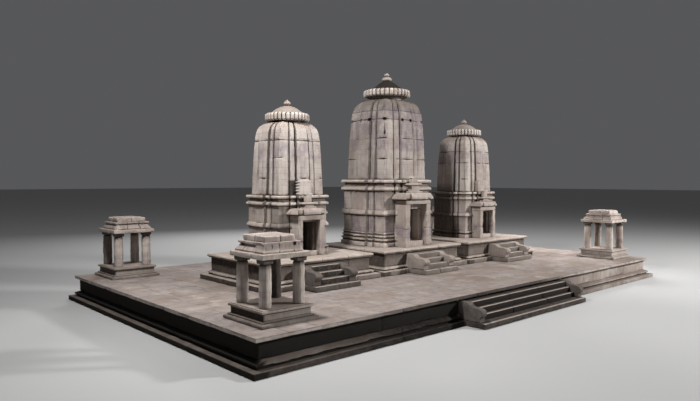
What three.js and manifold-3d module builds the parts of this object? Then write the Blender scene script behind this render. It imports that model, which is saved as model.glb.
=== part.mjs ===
// Three temple shrines in a row on one broad platform, with a great stair and four open kiosks.
// Millimetres, +Z up. The origin is at the middle of the platform's underside, on the ground.
// +X runs along the front to the right and +Y to the rear, so the stairs and doorways face -Y.

import * as THREE from 'three';
import { mergeVertices } from 'three/addons/utils/BufferGeometryUtils.js';
import Module from 'manifold-3d';

const wasm = await Module();
wasm.setup();

// Clearance between a piece and the neighbour that it is fitted around
const FIT_GAP = 0.3;

// Platform
const PLATFORM = { length: 30000, depth: 17040, baseHeight: 222, dadoInset: 430, mouldingTop: 470 };
const DECK = { top: 1225, thickness: 160, inset: 234, cove: 70 };
const GREAT_STAIR = {
  centreX: -200, width: 8620, cheekWidth: 350, riser: 245, stepFronts: [-9500, -9030, -8810, -8590],
  cheekSetback: 90, headZ: 1000, firstStepReach: 0,
};

// Shrine row: plinths at full size, with the structures above the side plinths scaled down.
// The stair and the tower of each stand a little off the middle of their plinth.
const SHRINES = [
  { name: 'left_shrine', x: -7000, stairShift: -290, towerShift: -25, scale: 0.79, rich: false },
  { name: 'middle_shrine', x: 120, stairShift: -170, towerShift: -70, scale: 1, rich: true },
  { name: 'right_shrine', x: 7200, stairShift: 200, towerShift: 100, scale: 0.79, rich: false },
];
const SHRINE_AXIS_Y = 580;
const PLINTH = { halfWidth: 3450, frontY: -2570, rearY: 3230, baseHeight: 240, dadoInset: 410 };
const SLAB = { underside: 1065, top: 1250, inset: 260 };
const FLIGHT = {
  width: 2500, cheekWidth: 400, riser: 250, stepFronts: [-3670, -3380, -3060, -2750],
  cheekSetback: 60, headZ: 1000, firstStepReach: 90,
};

// Structure of one shrine above its plinth slab, at the middle shrine's size.
// A pier value is the half side of the stepped plan at its corner piers, before the plan is
// made wider across the front than it is deep.
const PLAN = { bandEdge: 0.545, middleEdge: 0.29, stepShare: 0.135, across: 1.06, deep: 0.93 };
const CELLA = { pier: 1750, foot: 1880, band: 1860, cornice: 1870, neck: 1710, height: 3670, hollow: 900 };
const CELLA_CEILING = 3300;
const PORCH = { halfWidth: 1015, frontY: -2470, pier: 350 };
const EAVE = { height: 310, lip: 70, frontReach: 90, sideReach: 300 };
const PORCH_HEIGHTS = {
  rich: { openingTop: 2320, eave: 2590, top: 2930, course: 3300, blockTop: 3840 },
  plain: { openingTop: 2190, eave: 2530, top: 2890, course: 3080, blockTop: 3780 },
};
const DOOR = { halfWidth: 400, frontY: -2080, sillY: -2310, sill: 300, head: 2050, backHalfWidth: 600 };
const TOWER_PROFILE = [
  [1576, 3670], [1600, 3720], [1576, 4500], [1561, 5000], [1537, 5800], [1487, 6740], [1451, 7200],
  [1410, 7530], [1340, 7780], [1240, 7950], [1075, 8090], [870, 8170],
];
const CROWN = { ribs: 32, ribDepth: 60, radius: 1357, bottom: 8310, top: 8880, neckRadius: 860 };
const FINIAL_PROFILES = {
  rich: [
    [850, 8870], [800, 8930], [600, 9060], [420, 9190], [330, 9280], [200, 9300], [330, 9370],
    [345, 9430], [270, 9510], [110, 9560], [100, 9600], [160, 9650], [120, 9720], [40, 9790],
  ],
  plain: [
    [850, 8870], [800, 8930], [690, 9080], [520, 9210], [330, 9300], [130, 9320], [200, 9400],
    [225, 9480], [170, 9570], [80, 9660], [30, 9760],
  ],
};

// Kiosks
const KIOSK_CENTRES = {
  front_left: [-12830, -6290],
  front_right: [13160, -6120],
  rear_left: [-12690, 6690],
  rear_right: [13160, 6690],
};
const KIOSK = { half: 1210, baseTop: 560, columnInset: 505, columnRadius: 224, capitalHalf: 215, slabHalf: 1030 };
const KIOSK_HEIGHTS = { columnTop: 2060, capitalTop: 2220, slabTop: 2410, tierTop: 2765, roofTop: 3010 };

const FINISH = {
  platform: { color: 0x8f857c, roughness: 0.9 },
  plinth: { color: 0x998f86, roughness: 0.9 },
  shrine: { color: 0xa39a90, roughness: 0.88 },
  tower: { color: 0xa89f95, roughness: 0.86 },
  kiosk: { color: 0x9f968c, roughness: 0.88 },
};

// Adds one named piece with its stone finish to a group.
function addPiece(group, name, geometry, finish) {
  const mesh = new THREE.Mesh(geometry, new THREE.MeshStandardMaterial({ ...finish, metalness: 0 }));
  mesh.name = name;
  group.add(mesh);
}

// Outline of a rectangle, counter-clockwise.
function rectangle(x0, x1, y0, y1) {
  return [[x0, y0], [x1, y0], [x1, y1], [x0, y1]];
}

// Outline of a regular polygon with its flats square to X and Y.
function polygon(sides, radius, x = 0, y = 0) {
  return Array.from({ length: sides }, (_, i) => {
    const angle = (2 * Math.PI * (i + 0.5)) / sides;
    return [x + radius * Math.cos(angle), y + radius * Math.sin(angle)];
  });
}

// Closed body from outlines with equal numbers of points, stacked from the lowest level up.
// Each level is { outline: [[x, y], ...], z }.
function stackOutlines(levels) {
  const count = levels[0].outline.length;
  const positions = levels.flatMap(({ outline, z }) => outline.flatMap(([x, y]) => [x, y, z]));
  const indices = [];
  for (let ring = 0; ring + 1 < levels.length; ring += 1) {
    for (let i = 0; i < count; i += 1) {
      const a = ring * count + i;
      const b = ring * count + ((i + 1) % count);
      indices.push(a, b, b + count, a, b + count, a + count);
    }
  }
  const addCap = (level, upward) => {
    const contour = levels[level].outline.map(([x, y]) => new THREE.Vector2(x, y));
    for (const [a, b, c] of THREE.ShapeUtils.triangulateShape(contour, [])) {
      indices.push(...(upward ? [a, b, c] : [a, c, b]).map((i) => i + level * count));
    }
  };
  addCap(0, false);
  addCap(levels.length - 1, true);
  const geometry = new THREE.BufferGeometry();
  geometry.setAttribute('position', new THREE.Float32BufferAttribute(positions, 3));
  geometry.setIndex(indices);
  return geometry;
}

function box(x0, x1, y0, y1, z0, z1) {
  const outline = rectangle(x0, x1, y0, y1);
  return stackOutlines([{ outline, z: z0 }, { outline, z: z1 }]);
}

// Rectangular course whose four sides follow one profile of [inset, z] pairs.
function mouldedCourse(x0, x1, y0, y1, profile) {
  return stackOutlines(profile.map(([inset, z]) => (
    { outline: rectangle(x0 + inset, x1 - inset, y0 + inset, y1 - inset), z })));
}

// Body with one side profile of [y, z] points, running along X.
function extrudeAlongX(profile, x0, x1) {
  const shape = new THREE.Shape(profile.map(([y, z]) => new THREE.Vector2(y, z)));
  const geometry = new THREE.ExtrudeGeometry(shape, { depth: x1 - x0, bevelEnabled: false });
  return geometry.applyMatrix4(new THREE.Matrix4().set(0, 0, 1, x0, 1, 0, 0, 0, 0, 1, 0, 0, 0, 0, 0, 1));
}

// Closed geometry as a solid that can be joined and cut, and back.
function toSolid(geometry) {
  const bare = geometry.clone();
  bare.deleteAttribute('normal');
  bare.deleteAttribute('uv');
  const merged = mergeVertices(bare, 1e-3);
  return new wasm.Manifold(new wasm.Mesh({
    numProp: 3,
    vertProperties: new Float32Array(merged.attributes.position.array),
    triVerts: new Uint32Array(merged.index.array),
  }));
}

function toGeometry(solid) {
  const mesh = solid.getMesh();
  const geometry = new THREE.BufferGeometry();
  geometry.setAttribute('position', new THREE.BufferAttribute(new Float32Array(mesh.vertProperties), 3));
  geometry.setIndex(new THREE.BufferAttribute(new Uint32Array(mesh.triVerts), 1));
  return geometry;
}

function join(geometries) {
  return toGeometry(geometries.map(toSolid).reduce((sum, piece) => sum.add(piece)));
}

function cut(geometry, cutters) {
  return toGeometry(cutters.map(toSolid).reduce((rest, piece) => rest.subtract(piece), toSolid(geometry)));
}

// Flight of steps rising towards +Y, with a wider first step and a scroll cheek at each end above it.
// The steps end against a wall face at wallY.
function buildFlight(group, prefix, finish, size, wallY) {
  const { centreX, width, cheekWidth, riser, stepFronts, cheekSetback, headZ, firstStepReach } = size;
  const x0 = centreX - width / 2;
  const x1 = centreX + width / 2;
  const inner = cheekWidth + FIT_GAP;
  const backY = wallY - FIT_GAP;
  const stepBlocks = stepFronts.map((frontY, index) => {
    const inset = index ? inner : -firstStepReach;
    return box(x0 + inset, x1 - inset, frontY, backY, 0, (index + 1) * riser);
  });
  addPiece(group, `${prefix}_steps`, join(stepBlocks), finish);
  const noseY = stepFronts[0] + cheekSetback;
  const at = (out, up) => [backY + out * (noseY - backY), riser + up * (headZ - riser)];
  const cheek = [
    at(0, 0), at(0, 1), at(0.3, 1), at(0.37, 0.93), at(0.42, 0.82), at(0.52, 0.77), at(0.74, 0.75),
    at(0.88, 0.66), at(0.97, 0.5), at(1, 0.34), at(0.95, 0.2), at(0.84, 0.12), at(0.84, 0),
  ];
  addPiece(group, `${prefix}_left_cheek`, extrudeAlongX(cheek, x0, x0 + cheekWidth), finish);
  addPiece(group, `${prefix}_right_cheek`, extrudeAlongX(cheek, x1 - cheekWidth, x1), finish);
}

// Spaces that a flight and its wider first step take out of the mouldings at the foot of a wall.
function flightSeats(size, wallY, wallTop) {
  const seat = (half, top) => box(size.centreX - half, size.centreX + half, wallY - 2000, wallY, -1, top);
  const half = size.width / 2 + FIT_GAP;
  return [seat(half, wallTop), seat(half + size.firstStepReach, size.riser + FIT_GAP)];
}

// Platform: moulded base course, recessed dado and deck slab, with the great stair set into its front
function buildPlatform(group) {
  const x = PLATFORM.length / 2;
  const y = PLATFORM.depth / 2;
  const { baseHeight, dadoInset, mouldingTop } = PLATFORM;
  const underside = DECK.top - DECK.thickness;
  const [undercutInset, noseInset, undercutTop, noseTop] = [300, 225, 300, 375];
  const wallY = -y + dadoInset;
  const base = mouldedCourse(-x, x, -y, y, [
    [0, 0], [0, baseHeight], [undercutInset, baseHeight], [undercutInset, undercutTop],
    [noseInset, undercutTop], [noseInset, noseTop], [dadoInset, mouldingTop],
  ]);
  const dado = mouldedCourse(-x, x, -y, y, [
    [dadoInset, mouldingTop], [dadoInset, underside - DECK.cove], [dadoInset - DECK.cove, underside],
  ]);
  const deck = mouldedCourse(-x, x, -y, y, [
    [DECK.inset + 25, underside], [DECK.inset, underside + 30], [DECK.inset, DECK.top - 20],
    [DECK.inset + 20, DECK.top],
  ]);
  const baseSeats = flightSeats(GREAT_STAIR, wallY, mouldingTop + 1);
  const dadoSeats = flightSeats(GREAT_STAIR, wallY, underside + 1);
  addPiece(group, 'platform_base_course', cut(base, baseSeats), FINISH.platform);
  addPiece(group, 'platform_dado', cut(dado, dadoSeats), FINISH.platform);
  addPiece(group, 'platform_deck', deck, FINISH.platform);
  buildFlight(group, 'great_stair', FINISH.platform, GREAT_STAIR, wallY);
}

// Plinth of a shrine with its slab and flight
function buildPlinth(group, { name, stairShift }) {
  const flight = { ...FLIGHT, centreX: stairShift };
  const { halfWidth, frontY, rearY, baseHeight, dadoInset } = PLINTH;
  const wallY = frontY + dadoInset;
  const [courseInset, courseBottom, courseTop, courseSlope] = [250, 290, 370, 440];
  const plinth = mouldedCourse(-halfWidth, halfWidth, frontY, rearY, [
    [0, 0], [0, baseHeight], [courseInset + 70, baseHeight], [courseInset + 70, courseBottom],
    [courseInset, courseBottom], [courseInset, courseTop], [dadoInset, courseSlope],
    [dadoInset, SLAB.underside],
  ]);
  const slab = mouldedCourse(-halfWidth, halfWidth, frontY, rearY, [
    [SLAB.inset + 60, SLAB.underside], [SLAB.inset + 50, SLAB.underside + 60], [SLAB.inset, SLAB.underside + 70],
    [SLAB.inset, SLAB.top - 15], [SLAB.inset + 15, SLAB.top],
  ]);
  addPiece(group, `${name}_plinth`, cut(plinth, flightSeats(flight, wallY, SLAB.underside + 1)), FINISH.plinth);
  addPiece(group, `${name}_plinth_slab`, slab, FINISH.plinth);
  buildFlight(group, `${name}_stair`, FINISH.plinth, flight, wallY);
}

// Stepped plan of 36 points: corner piers, half-depth bands and a projecting middle on each face.
function steppedPlan(pier) {
  const step = PLAN.stepShare * pier;
  const half = [
    [pier, pier], [PLAN.bandEdge * pier, pier], [PLAN.bandEdge * pier, pier + step / 2],
    [PLAN.middleEdge * pier, pier + step / 2], [PLAN.middleEdge * pier, pier + step],
  ];
  const front = [
    ...half.map(([along, out]) => [-along, -out]),
    ...half.slice(1).reverse().map(([along, out]) => [along, -out]),
  ];
  const turns = [[1, 0], [0, 1], [-1, 0], [0, -1]];
  return turns.flatMap(([c, s]) => front.map(([px, py]) => (
    [PLAN.across * (c * px - s * py), PLAN.deep * (s * px + c * py)])));
}

// Profile of the cella wall as [pier, z] pairs: foot mouldings, middle band and double cornice.
function cellaProfile(rich) {
  const { pier, foot, band, cornice, neck, height } = CELLA;
  const plainFoot = [
    [foot - 40, 0], [foot - 40, 260], [pier + 20, 300], [pier + 20, 380], [pier + 110, 400],
    [pier + 110, 500], [pier, 560],
  ];
  const fineFoot = [
    [foot, 0], [foot, 210], [pier + 40, 250], [pier + 40, 310], [pier + 110, 330], [pier + 110, 430],
    [pier + 20, 450], [pier + 20, 510], [pier + 80, 530], [pier + 80, 620], [pier + 10, 640],
    [pier + 10, 690], [pier + 50, 700], [pier + 50, 770], [pier, 800],
  ];
  return [
    ...(rich ? fineFoot : plainFoot),
    [pier, 1690], [band, 1740], [band, 1840], [band - 60, 2000], [pier, 2010],
    [pier, 3030], [cornice, 3080], [cornice, 3200], [neck, 3320],
    [neck, 3460], [cornice, 3490], [cornice, 3620], [cornice - 40, height],
  ];
}

// Body whose stepped plan follows a profile of [pier, z] pairs.
function steppedBody(profile) {
  return stackOutlines(profile.map(([pier, z]) => ({ outline: steppedPlan(pier), z })));
}

// Front face of the cella at its corner piers, where the porch and door frame are seated
const CELLA_FRONT_Y = -CELLA.pier * PLAN.deep;

// Hollow cella of thick masonry, its doorway cut through, with a flat seat for the porch.
function cellaWalls(rich) {
  const { hollow } = CELLA;
  const { backHalfWidth, head } = DOOR;
  const reach = PORCH.halfWidth + FIT_GAP;
  return cut(steppedBody(cellaProfile(rich)), [
    box(-hollow, hollow, -hollow, hollow, -1, CELLA_CEILING),
    box(-backHalfWidth, backHalfWidth, PORCH.frontY, 0, -1, head + 80),
    box(-reach, reach, PORCH.frontY, CELLA_FRONT_Y, -1, PORCH_HEIGHTS[rich ? 'rich' : 'plain'].top + FIT_GAP),
  ]);
}

// Eave on one side of the porch, sloping down. Side is -1 left or 1 right. The left one is mitred at
// the front corner, and the right one has lost its mitre.
function sideEave(side, bottom, backY) {
  const { halfWidth, frontY } = PORCH;
  const root = 20;
  const outline = (reach) => {
    const outer = halfWidth + reach;
    const inner = halfWidth - root;
    const left = [[-outer, frontY - reach], [-inner, frontY + root], [-inner, backY], [-outer, backY]];
    return side < 0 ? left : rectangle(inner, outer, frontY + root, backY);
  };
  const { sideReach, lip, height } = EAVE;
  return stackOutlines([
    { outline: outline(sideReach - 10), z: bottom }, { outline: outline(sideReach), z: bottom + lip },
    { outline: outline(40), z: bottom + height },
  ]);
}

// Porch: two deep side piers under one lintel block, eaves on three sides and small tiers on top.
// The front eave is broken away at both corners.
function porch(rich) {
  const { halfWidth, frontY, pier } = PORCH;
  const { openingTop, eave, top, course, blockTop } = PORCH_HEIGHTS[rich ? 'rich' : 'plain'];
  const backY = CELLA_FRONT_Y - FIT_GAP;
  const inner = halfWidth - pier;
  const root = 20;
  const eaveTop = eave + EAVE.height;
  const frontEave = extrudeAlongX([
    [frontY - EAVE.frontReach, eave], [frontY + root, eave - 30], [frontY + root, eaveTop],
    [frontY - 30, eaveTop], [frontY - EAVE.frontReach, eave + 2 * EAVE.lip],
  ], -inner, inner);
  const body = box(-halfWidth, halfWidth, frontY, backY, 0, top);
  const opening = box(-inner, inner, frontY - 1, backY + 1, -1, openingTop);
  const corniceFace = CELLA.cornice * (1 + PLAN.stepShare) * PLAN.deep + 3;
  const tier = (half, front, z0, z1) => box(-half, half, front, -corniceFace, z0, z1);
  return join([
    cut(body, [opening]),
    frontEave,
    sideEave(-1, eave, backY),
    sideEave(1, eave, backY),
    tier(490, -2330, top - root, top + 110),
    tier(340, -2270, top, course + root),
    mouldedCourse(-620, 620, -2360, -corniceFace, [[110, course], [0, course + 85], [60, course + 170]]),
    tier(240, -2200, course + 150, blockTop),
    tier(310, -2230, blockTop - 90, blockTop),
  ]);
}

// Inner door frame of jambs, lintel and a deeper sill, seated in the porch opening against the cella wall
function doorFrame(rich) {
  const outer = PORCH.halfWidth - PORCH.pier - FIT_GAP;
  const { halfWidth, frontY, sillY, sill, head } = DOOR;
  const { openingTop } = PORCH_HEIGHTS[rich ? 'rich' : 'plain'];
  const backY = CELLA_FRONT_Y - FIT_GAP;
  const frame = box(-outer, outer, frontY, backY, 0, openingTop - FIT_GAP);
  return join([
    cut(frame, [box(-halfWidth, halfWidth, frontY - 1, backY + 1, sill, head)]),
    box(-outer, outer, sillY, backY, 0, sill),
  ]);
}

// Ribbed disc on its neck, with the bell dome and the finial bulbs above it
function crown(rich) {
  const { ribs, ribDepth, radius, bottom, top, neckRadius } = CROWN;
  const ribbed = (share) => Array.from({ length: 2 * ribs }, (_, i) => {
    const angle = (Math.PI * i) / ribs;
    const reach = radius * share - (i % 2 ? ribDepth : 0);
    return [reach * Math.cos(angle), reach * Math.sin(angle)];
  });
  const disc = stackOutlines([
    { outline: ribbed(0.86), z: bottom }, { outline: ribbed(0.97), z: bottom + 90 },
    { outline: ribbed(1), z: bottom + 200 }, { outline: ribbed(1), z: top - 170 },
    { outline: ribbed(0.94), z: top - 50 }, { outline: ribbed(0.84), z: top },
  ]);
  const neck = stackOutlines([
    { outline: polygon(24, neckRadius), z: TOWER_PROFILE.at(-1)[1] },
    { outline: polygon(24, neckRadius), z: bottom + 20 },
  ]);
  const profile = FINIAL_PROFILES[rich ? 'rich' : 'plain'];
  const finial = stackOutlines(profile.map(([r, z]) => ({ outline: polygon(12, r), z })));
  return join([disc, neck, finial]);
}

// Structure above one plinth: cella, porch, door frame, curved tower and crown
function buildShrine(group, { name, rich }) {
  addPiece(group, `${name}_cella_walls`, cellaWalls(rich), FINISH.shrine);
  addPiece(group, `${name}_porch`, porch(rich), FINISH.shrine);
  addPiece(group, `${name}_door_frame`, doorFrame(rich), FINISH.shrine);
  addPiece(group, `${name}_tower`, steppedBody(TOWER_PROFILE), FINISH.tower);
  addPiece(group, `${name}_crown`, crown(rich), FINISH.tower);
}

// Open kiosk: moulded base, four eight-sided columns with capitals under one slab, and stepped roof tiers
function buildKiosk(group, name) {
  const { half, baseTop, columnInset, columnRadius, capitalHalf, slabHalf } = KIOSK;
  const { columnTop, capitalTop, slabTop, tierTop, roofTop } = KIOSK_HEIGHTS;
  const base = mouldedCourse(-half, half, -half, half, [
    [0, 0], [0, 110], [40, 130], [110, 140], [120, 190], [200, 210], [200, 420], [130, 450], [120, baseTop - 30],
    [130, baseTop - 20], [190, baseTop - 20], [190, baseTop],
  ]);
  const offset = half - columnInset;
  const columns = [[-1, -1], [1, -1], [1, 1], [-1, 1]].flatMap(([sx, sy]) => {
    const [cx, cy] = [sx * offset, sy * offset];
    const shaft = [[1, baseTop], [1.05, 1200], [0.95, columnTop + 10]];
    return [
      stackOutlines(shaft.map(([share, z]) => ({ outline: polygon(8, columnRadius * share, cx, cy), z }))),
      box(cx - capitalHalf, cx + capitalHalf, cy - capitalHalf, cy + capitalHalf, columnTop, capitalTop + 10),
    ];
  });
  const slab = mouldedCourse(-slabHalf, slabHalf, -slabHalf, slabHalf, [
    [25, capitalTop], [0, capitalTop + 30], [0, slabTop - 20], [20, slabTop],
  ]);
  const tier = ([side, z]) => ({ outline: polygon(4, side * Math.SQRT2), z });
  const tiers = stackOutlines([
    [895, slabTop], [905, slabTop + 60], [800, slabTop + 130], [745, slabTop + 220], [830, tierTop - 60],
    [830, tierTop], [670, tierTop], [690, roofTop - 70], [640, roofTop - 20], [350, roofTop],
  ].map(tier));
  addPiece(group, `${name}_kiosk_base`, base, FINISH.kiosk);
  addPiece(group, `${name}_kiosk_columns`, join([slab, ...columns]), FINISH.kiosk);
  addPiece(group, `${name}_kiosk_roof`, tiers, FINISH.kiosk);
}

const temple = new THREE.Group();
buildPlatform(temple);
for (const shrine of SHRINES) {
  const plinthGroup = new THREE.Group();
  plinthGroup.position.set(shrine.x, 0, DECK.top);
  buildPlinth(plinthGroup, shrine);
  const shrineGroup = new THREE.Group();
  shrineGroup.position.set(shrine.towerShift, SHRINE_AXIS_Y, SLAB.top);
  shrineGroup.scale.setScalar(shrine.scale);
  buildShrine(shrineGroup, shrine);
  plinthGroup.add(shrineGroup);
  temple.add(plinthGroup);
}
for (const [name, [x, y]] of Object.entries(KIOSK_CENTRES)) {
  const kioskGroup = new THREE.Group();
  kioskGroup.position.set(x, y, DECK.top);
  buildKiosk(kioskGroup, name);
  temple.add(kioskGroup);
}

export default temple;
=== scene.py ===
"""Weathered stone dressing of a temple of three shrines on one platform, with a great stair and kiosks.

Metres, +Z up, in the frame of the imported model. Every visible piece stands for one of its nodes.
"""

import logging
import math
from collections.abc import Iterable, Sequence
from dataclasses import dataclass, field
from enum import Enum

import bpy
import numpy as np
from mathutils import Matrix, Vector


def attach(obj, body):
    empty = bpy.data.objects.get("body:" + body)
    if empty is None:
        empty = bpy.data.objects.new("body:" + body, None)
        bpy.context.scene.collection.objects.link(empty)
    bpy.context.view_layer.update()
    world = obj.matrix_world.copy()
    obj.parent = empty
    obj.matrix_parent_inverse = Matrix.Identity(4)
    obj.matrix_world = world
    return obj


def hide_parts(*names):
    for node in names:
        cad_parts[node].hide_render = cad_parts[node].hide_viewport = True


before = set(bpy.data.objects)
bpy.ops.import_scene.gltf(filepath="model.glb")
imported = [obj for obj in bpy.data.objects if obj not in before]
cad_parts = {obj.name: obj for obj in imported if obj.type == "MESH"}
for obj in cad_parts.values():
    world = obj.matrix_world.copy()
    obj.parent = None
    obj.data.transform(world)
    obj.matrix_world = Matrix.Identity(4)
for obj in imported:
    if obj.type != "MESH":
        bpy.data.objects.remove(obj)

Array = np.ndarray
Profile = Sequence[tuple[float, float]]
Span = tuple[float, float]
Triple = tuple[float, float, float]

BODY = "root"
SHARP_ANGLE = math.radians(38)
# Mean fall of the neighbours around a vertex on a square edge, which counts as one whole edge
SQUARE_EDGE = 0.35
# Places of the points of an open joint, from its middle
NOTCH = np.array([-0.012, -0.005, 0.005, 0.012])
# Gap between a stone and its neighbour, and between a piece and the cut that it stands in
HAIR = 0.001
CLEARANCE = 0.0003
# How far the cut for a stair stays below the course on it
SEAT_GAP = 0.0005
# Distance between points on a shape that only cuts, which leaves its faces whole
UNDIVIDED = 2.0

log = logging.getLogger("temple")


class Slot(Enum):
    """Material slots of the record."""

    PLATFORM = "platform_stone"
    STEP = "step_stone"
    PLINTH = "plinth_stone"
    SHRINE = "shrine_stone"
    TOWER = "tower_stone"
    KIOSK = "kiosk_stone"


class Layout(Enum):
    """Ways of setting out copies of one stone."""

    RING = "ring"
    CORNERS = "corners"


class Position(Enum):
    """Places in the row of shrines, which also name the nodes of each."""

    LEFT = "left_shrine"
    MIDDLE = "middle_shrine"
    RIGHT = "right_shrine"


class StoneNoise:
    """Smooth random values over space, the same on every run."""

    TABLE = 4096
    # Whole numbers that turn the place of a cell into a place in the table
    PRIMES = (73856093, 19349663, 83492791)
    LARGEST = 0x7FFFFFFF
    FACTOR = 1103515245
    OFFSET = 12345

    def __init__(self, seed: int) -> None:
        """Draws the table of random values for one seed.

        Args:
            seed: Seed of the random values.
        """
        rng = np.random.default_rng(seed)
        self.values = rng.random(self.TABLE)
        self.shift = rng.random(3) * 100

    def at(self, points: Array, size: float) -> Array:
        """Reads the noise at points.

        Args:
            points: Places, one row each, in metres.
            size: Length of one patch, in metres.

        Returns:
            One value from 0 to 1 for each point.
        """
        scaled = points / size + self.shift
        cell = np.floor(scaled).astype(np.int64)
        share = scaled - cell
        share = share * share * (3 - 2 * share)
        total = np.zeros(len(points))
        for corner in np.ndindex(2, 2, 2):
            mixed = np.bitwise_xor.reduce((cell + corner) * self.PRIMES, axis=1)
            picked = (mixed & self.LARGEST) * self.FACTOR + self.OFFSET >> 8
            weight = np.prod(np.where(np.array(corner) == 1, share, 1 - share), axis=1)
            total += self.values[picked & self.TABLE - 1] * weight
        return total

    def rough(self, points: Array, size: float, layers: int = 3) -> Array:
        """Sums several layers of noise, each half the size and weight of the last."""
        weights = 0.5 ** np.arange(layers)
        return sum(share * self.at(points, size * share) for share in weights) / weights.sum()


def ramp(values: Array, low: float, high: float) -> Array:
    """Goes smoothly from 0 at low to 1 at high."""
    share = np.clip((values - low) / (high - low), 0, 1)
    return share * share * (3 - 2 * share)


def spread(length: float, spacing: float, margin: float) -> Array:
    """Cuts a stretch into even parts, with a short one at each end.

    Args:
        length: Length of the stretch.
        spacing: Usual length of a part.
        margin: Length of the first and last part.

    Returns:
        Shares of the stretch from 0 to 1.
    """
    if length <= 3 * margin:
        return np.array([0.0, 1.0])
    parts = max(1, round((length - 2 * margin) / spacing))
    inner = np.linspace(margin, length - margin, parts + 1)
    return np.concatenate([[0.0], inner, [length]]) / length


def refine(line: Array, spacing: float, margin: float, closed: bool = False) -> Array:
    """Adds points along the straight stretches of a line.

    Args:
        line: Corner points, one row each.
        spacing: Usual distance between points.
        margin: Distance of the first added point from a corner.
        closed: True where the last corner joins the first.

    Returns:
        The line with its corners and the added points.
    """
    line = np.asarray(line, float)
    ends = np.roll(line, -1, axis=0) if closed else line[1:]
    parts = []
    for start, end in zip(line, ends):
        shares = spread(float(np.linalg.norm(end - start)), spacing, margin)[:-1, None]
        parts.append(start + shares * (end - start))
    if not closed:
        parts.append(line[-1:])
    return np.concatenate(parts)


def shelter(insets: Array, heights: Array) -> Array:
    """Rates how far each level of a profile lies under what juts out above it, from 0 to 1.

    Args:
        insets: How far each level is set in.
        heights: Height of each level.

    Returns:
        One rating for each level.
    """
    reach = insets[:, None] - insets[None, :]
    rise = heights[None, :] - heights[:, None]
    cover = np.where((rise > 1e-6) & (reach > 0), reach / (rise + 0.08), 0)
    return np.clip(cover.max(axis=1), 0, 1)


def between(values: Array, low: float | Array, high: float | Array) -> Array:
    """Says which values lie between two limits."""
    return (values > low) & (values < high)


@dataclass(frozen=True)
class Place:
    """Where a group of pieces stands: a shift, after a scale about its own origin."""

    x: float = 0.0
    y: float = 0.0
    z: float = 0.0
    scale: float = 1.0

    def apply(self, points: Array) -> Array:
        """Moves points from the group's frame to the model's."""
        return points * self.scale + np.array([self.x, self.y, self.z])


@dataclass(frozen=True)
class StainBand:
    """Level band of a piece with purple-grey stains, in the group's frame.

    Attributes:
        low: Height where it starts.
        high: Height where it ends.
        strength: Strength of the stain, from 0 to 1.
        patch: Length of one blotch.
        fade: How far it fades out, above and below each end.
    """

    low: float
    high: float
    strength: float
    patch: float = 0.8
    fade: float = 0.1

    def at(self, points: Array, noise: StoneNoise) -> Array:
        """Rates the stain at points of the group's frame.

        Args:
            points: Places, one row each, in metres.
            noise: Noise of the piece.

        Returns:
            One value for each point.
        """
        ragged = points[:, 2] + 0.3 * (noise.at(points * [1, 1, 0.3], 0.35) - 0.5)
        above = ramp(ragged, self.low - self.fade, self.low + self.fade)
        below = 1 - ramp(ragged, self.high - self.fade, self.high + self.fade)
        return self.strength * (above * below) * ramp(noise.rough(points, self.patch), 0.28, 0.52)


@dataclass(frozen=True)
class Wear:
    """How far one kind of stone has weathered, in metres.

    Attributes:
        rounding: How far an edge is worn back.
        chip: Depth of the deepest chips along the edges.
        chip_share: Share of the edges that is chipped, from 0 to 1.
        unevenness: Depth of the shallow hollows in open faces.
        patch: Length of a usual chip.
    """

    rounding: float = 0.012
    chip: float = 0.05
    chip_share: float = 0.35
    unevenness: float = 0.008
    patch: float = 0.45


@dataclass
class Block:
    """Points and faces of one stone or course, with the soiling and painted shade at each point.

    Attributes:
        points: Places of the points, one row each.
        quads: Faces with four corners.
        polygons: Other faces.
        dirt: Soiling and painted shade at each point, from 0 to 1.
        chipping: Share of the piece's usual chips that this stone shows.
    """

    points: Array
    quads: Array
    polygons: list[list[int]]
    dirt: Array
    chipping: float = 1.0

    def darkened(self, amount: float | Array) -> "Block":
        """Adds soiling and painted shade to the whole stone, or an amount for each point."""
        self.dirt = np.maximum(self.dirt, amount)
        return self

    def broken(self, at: Triple, towards: Triple, noise: StoneNoise) -> "Block":
        """Breaks off what lies beyond a rough plane.

        Args:
            at: A point of the plane.
            towards: Direction of the side that is lost.
            noise: Noise that roughens the break.

        Returns:
            This block, changed.
        """
        normal = np.array(towards, float)
        normal /= np.linalg.norm(normal)
        beyond = (self.points - np.array(at)) @ normal
        rough = 0.05 * (noise.rough(self.points, 0.12) - 0.5)
        push = np.maximum(beyond + rough, 0) * (beyond > 0)
        self.points = self.points - push[:, None] * normal
        self.dirt = np.where(push > 0, self.dirt * 0.5, self.dirt)
        return self


def side_quads(levels: int, count: int) -> Array:
    """Faces between closed rings of points stacked upwards.

    Args:
        levels: Number of rings.
        count: Number of points in a ring.

    Returns:
        The faces, one row each.
    """
    ring, i = np.meshgrid(np.arange(levels - 1), np.arange(count), indexing="ij")
    a = (ring * count + i).ravel()
    b = (ring * count + (i + 1) % count).ravel()
    return np.stack([a, b, b + count, a + count], axis=1)


def stacked(rings: Array, heights: Array, dirt: Array) -> Block:
    """Makes a closed body of rings.

    Args:
        rings: Points of each ring, as levels by points by two.
        heights: Height of each ring.
        dirt: Soiling and painted shade of each point, as levels by points.

    Returns:
        The body, with one flat face at each end.
    """
    levels, count = rings.shape[:2]
    z = np.repeat(heights, count)
    points = np.column_stack([rings.reshape(-1, 2), z])
    last = (levels - 1) * count
    ends = [list(range(count))[::-1], list(range(last, last + count))]
    return Block(points, side_quads(levels, count), ends, dirt.ravel())


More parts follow.
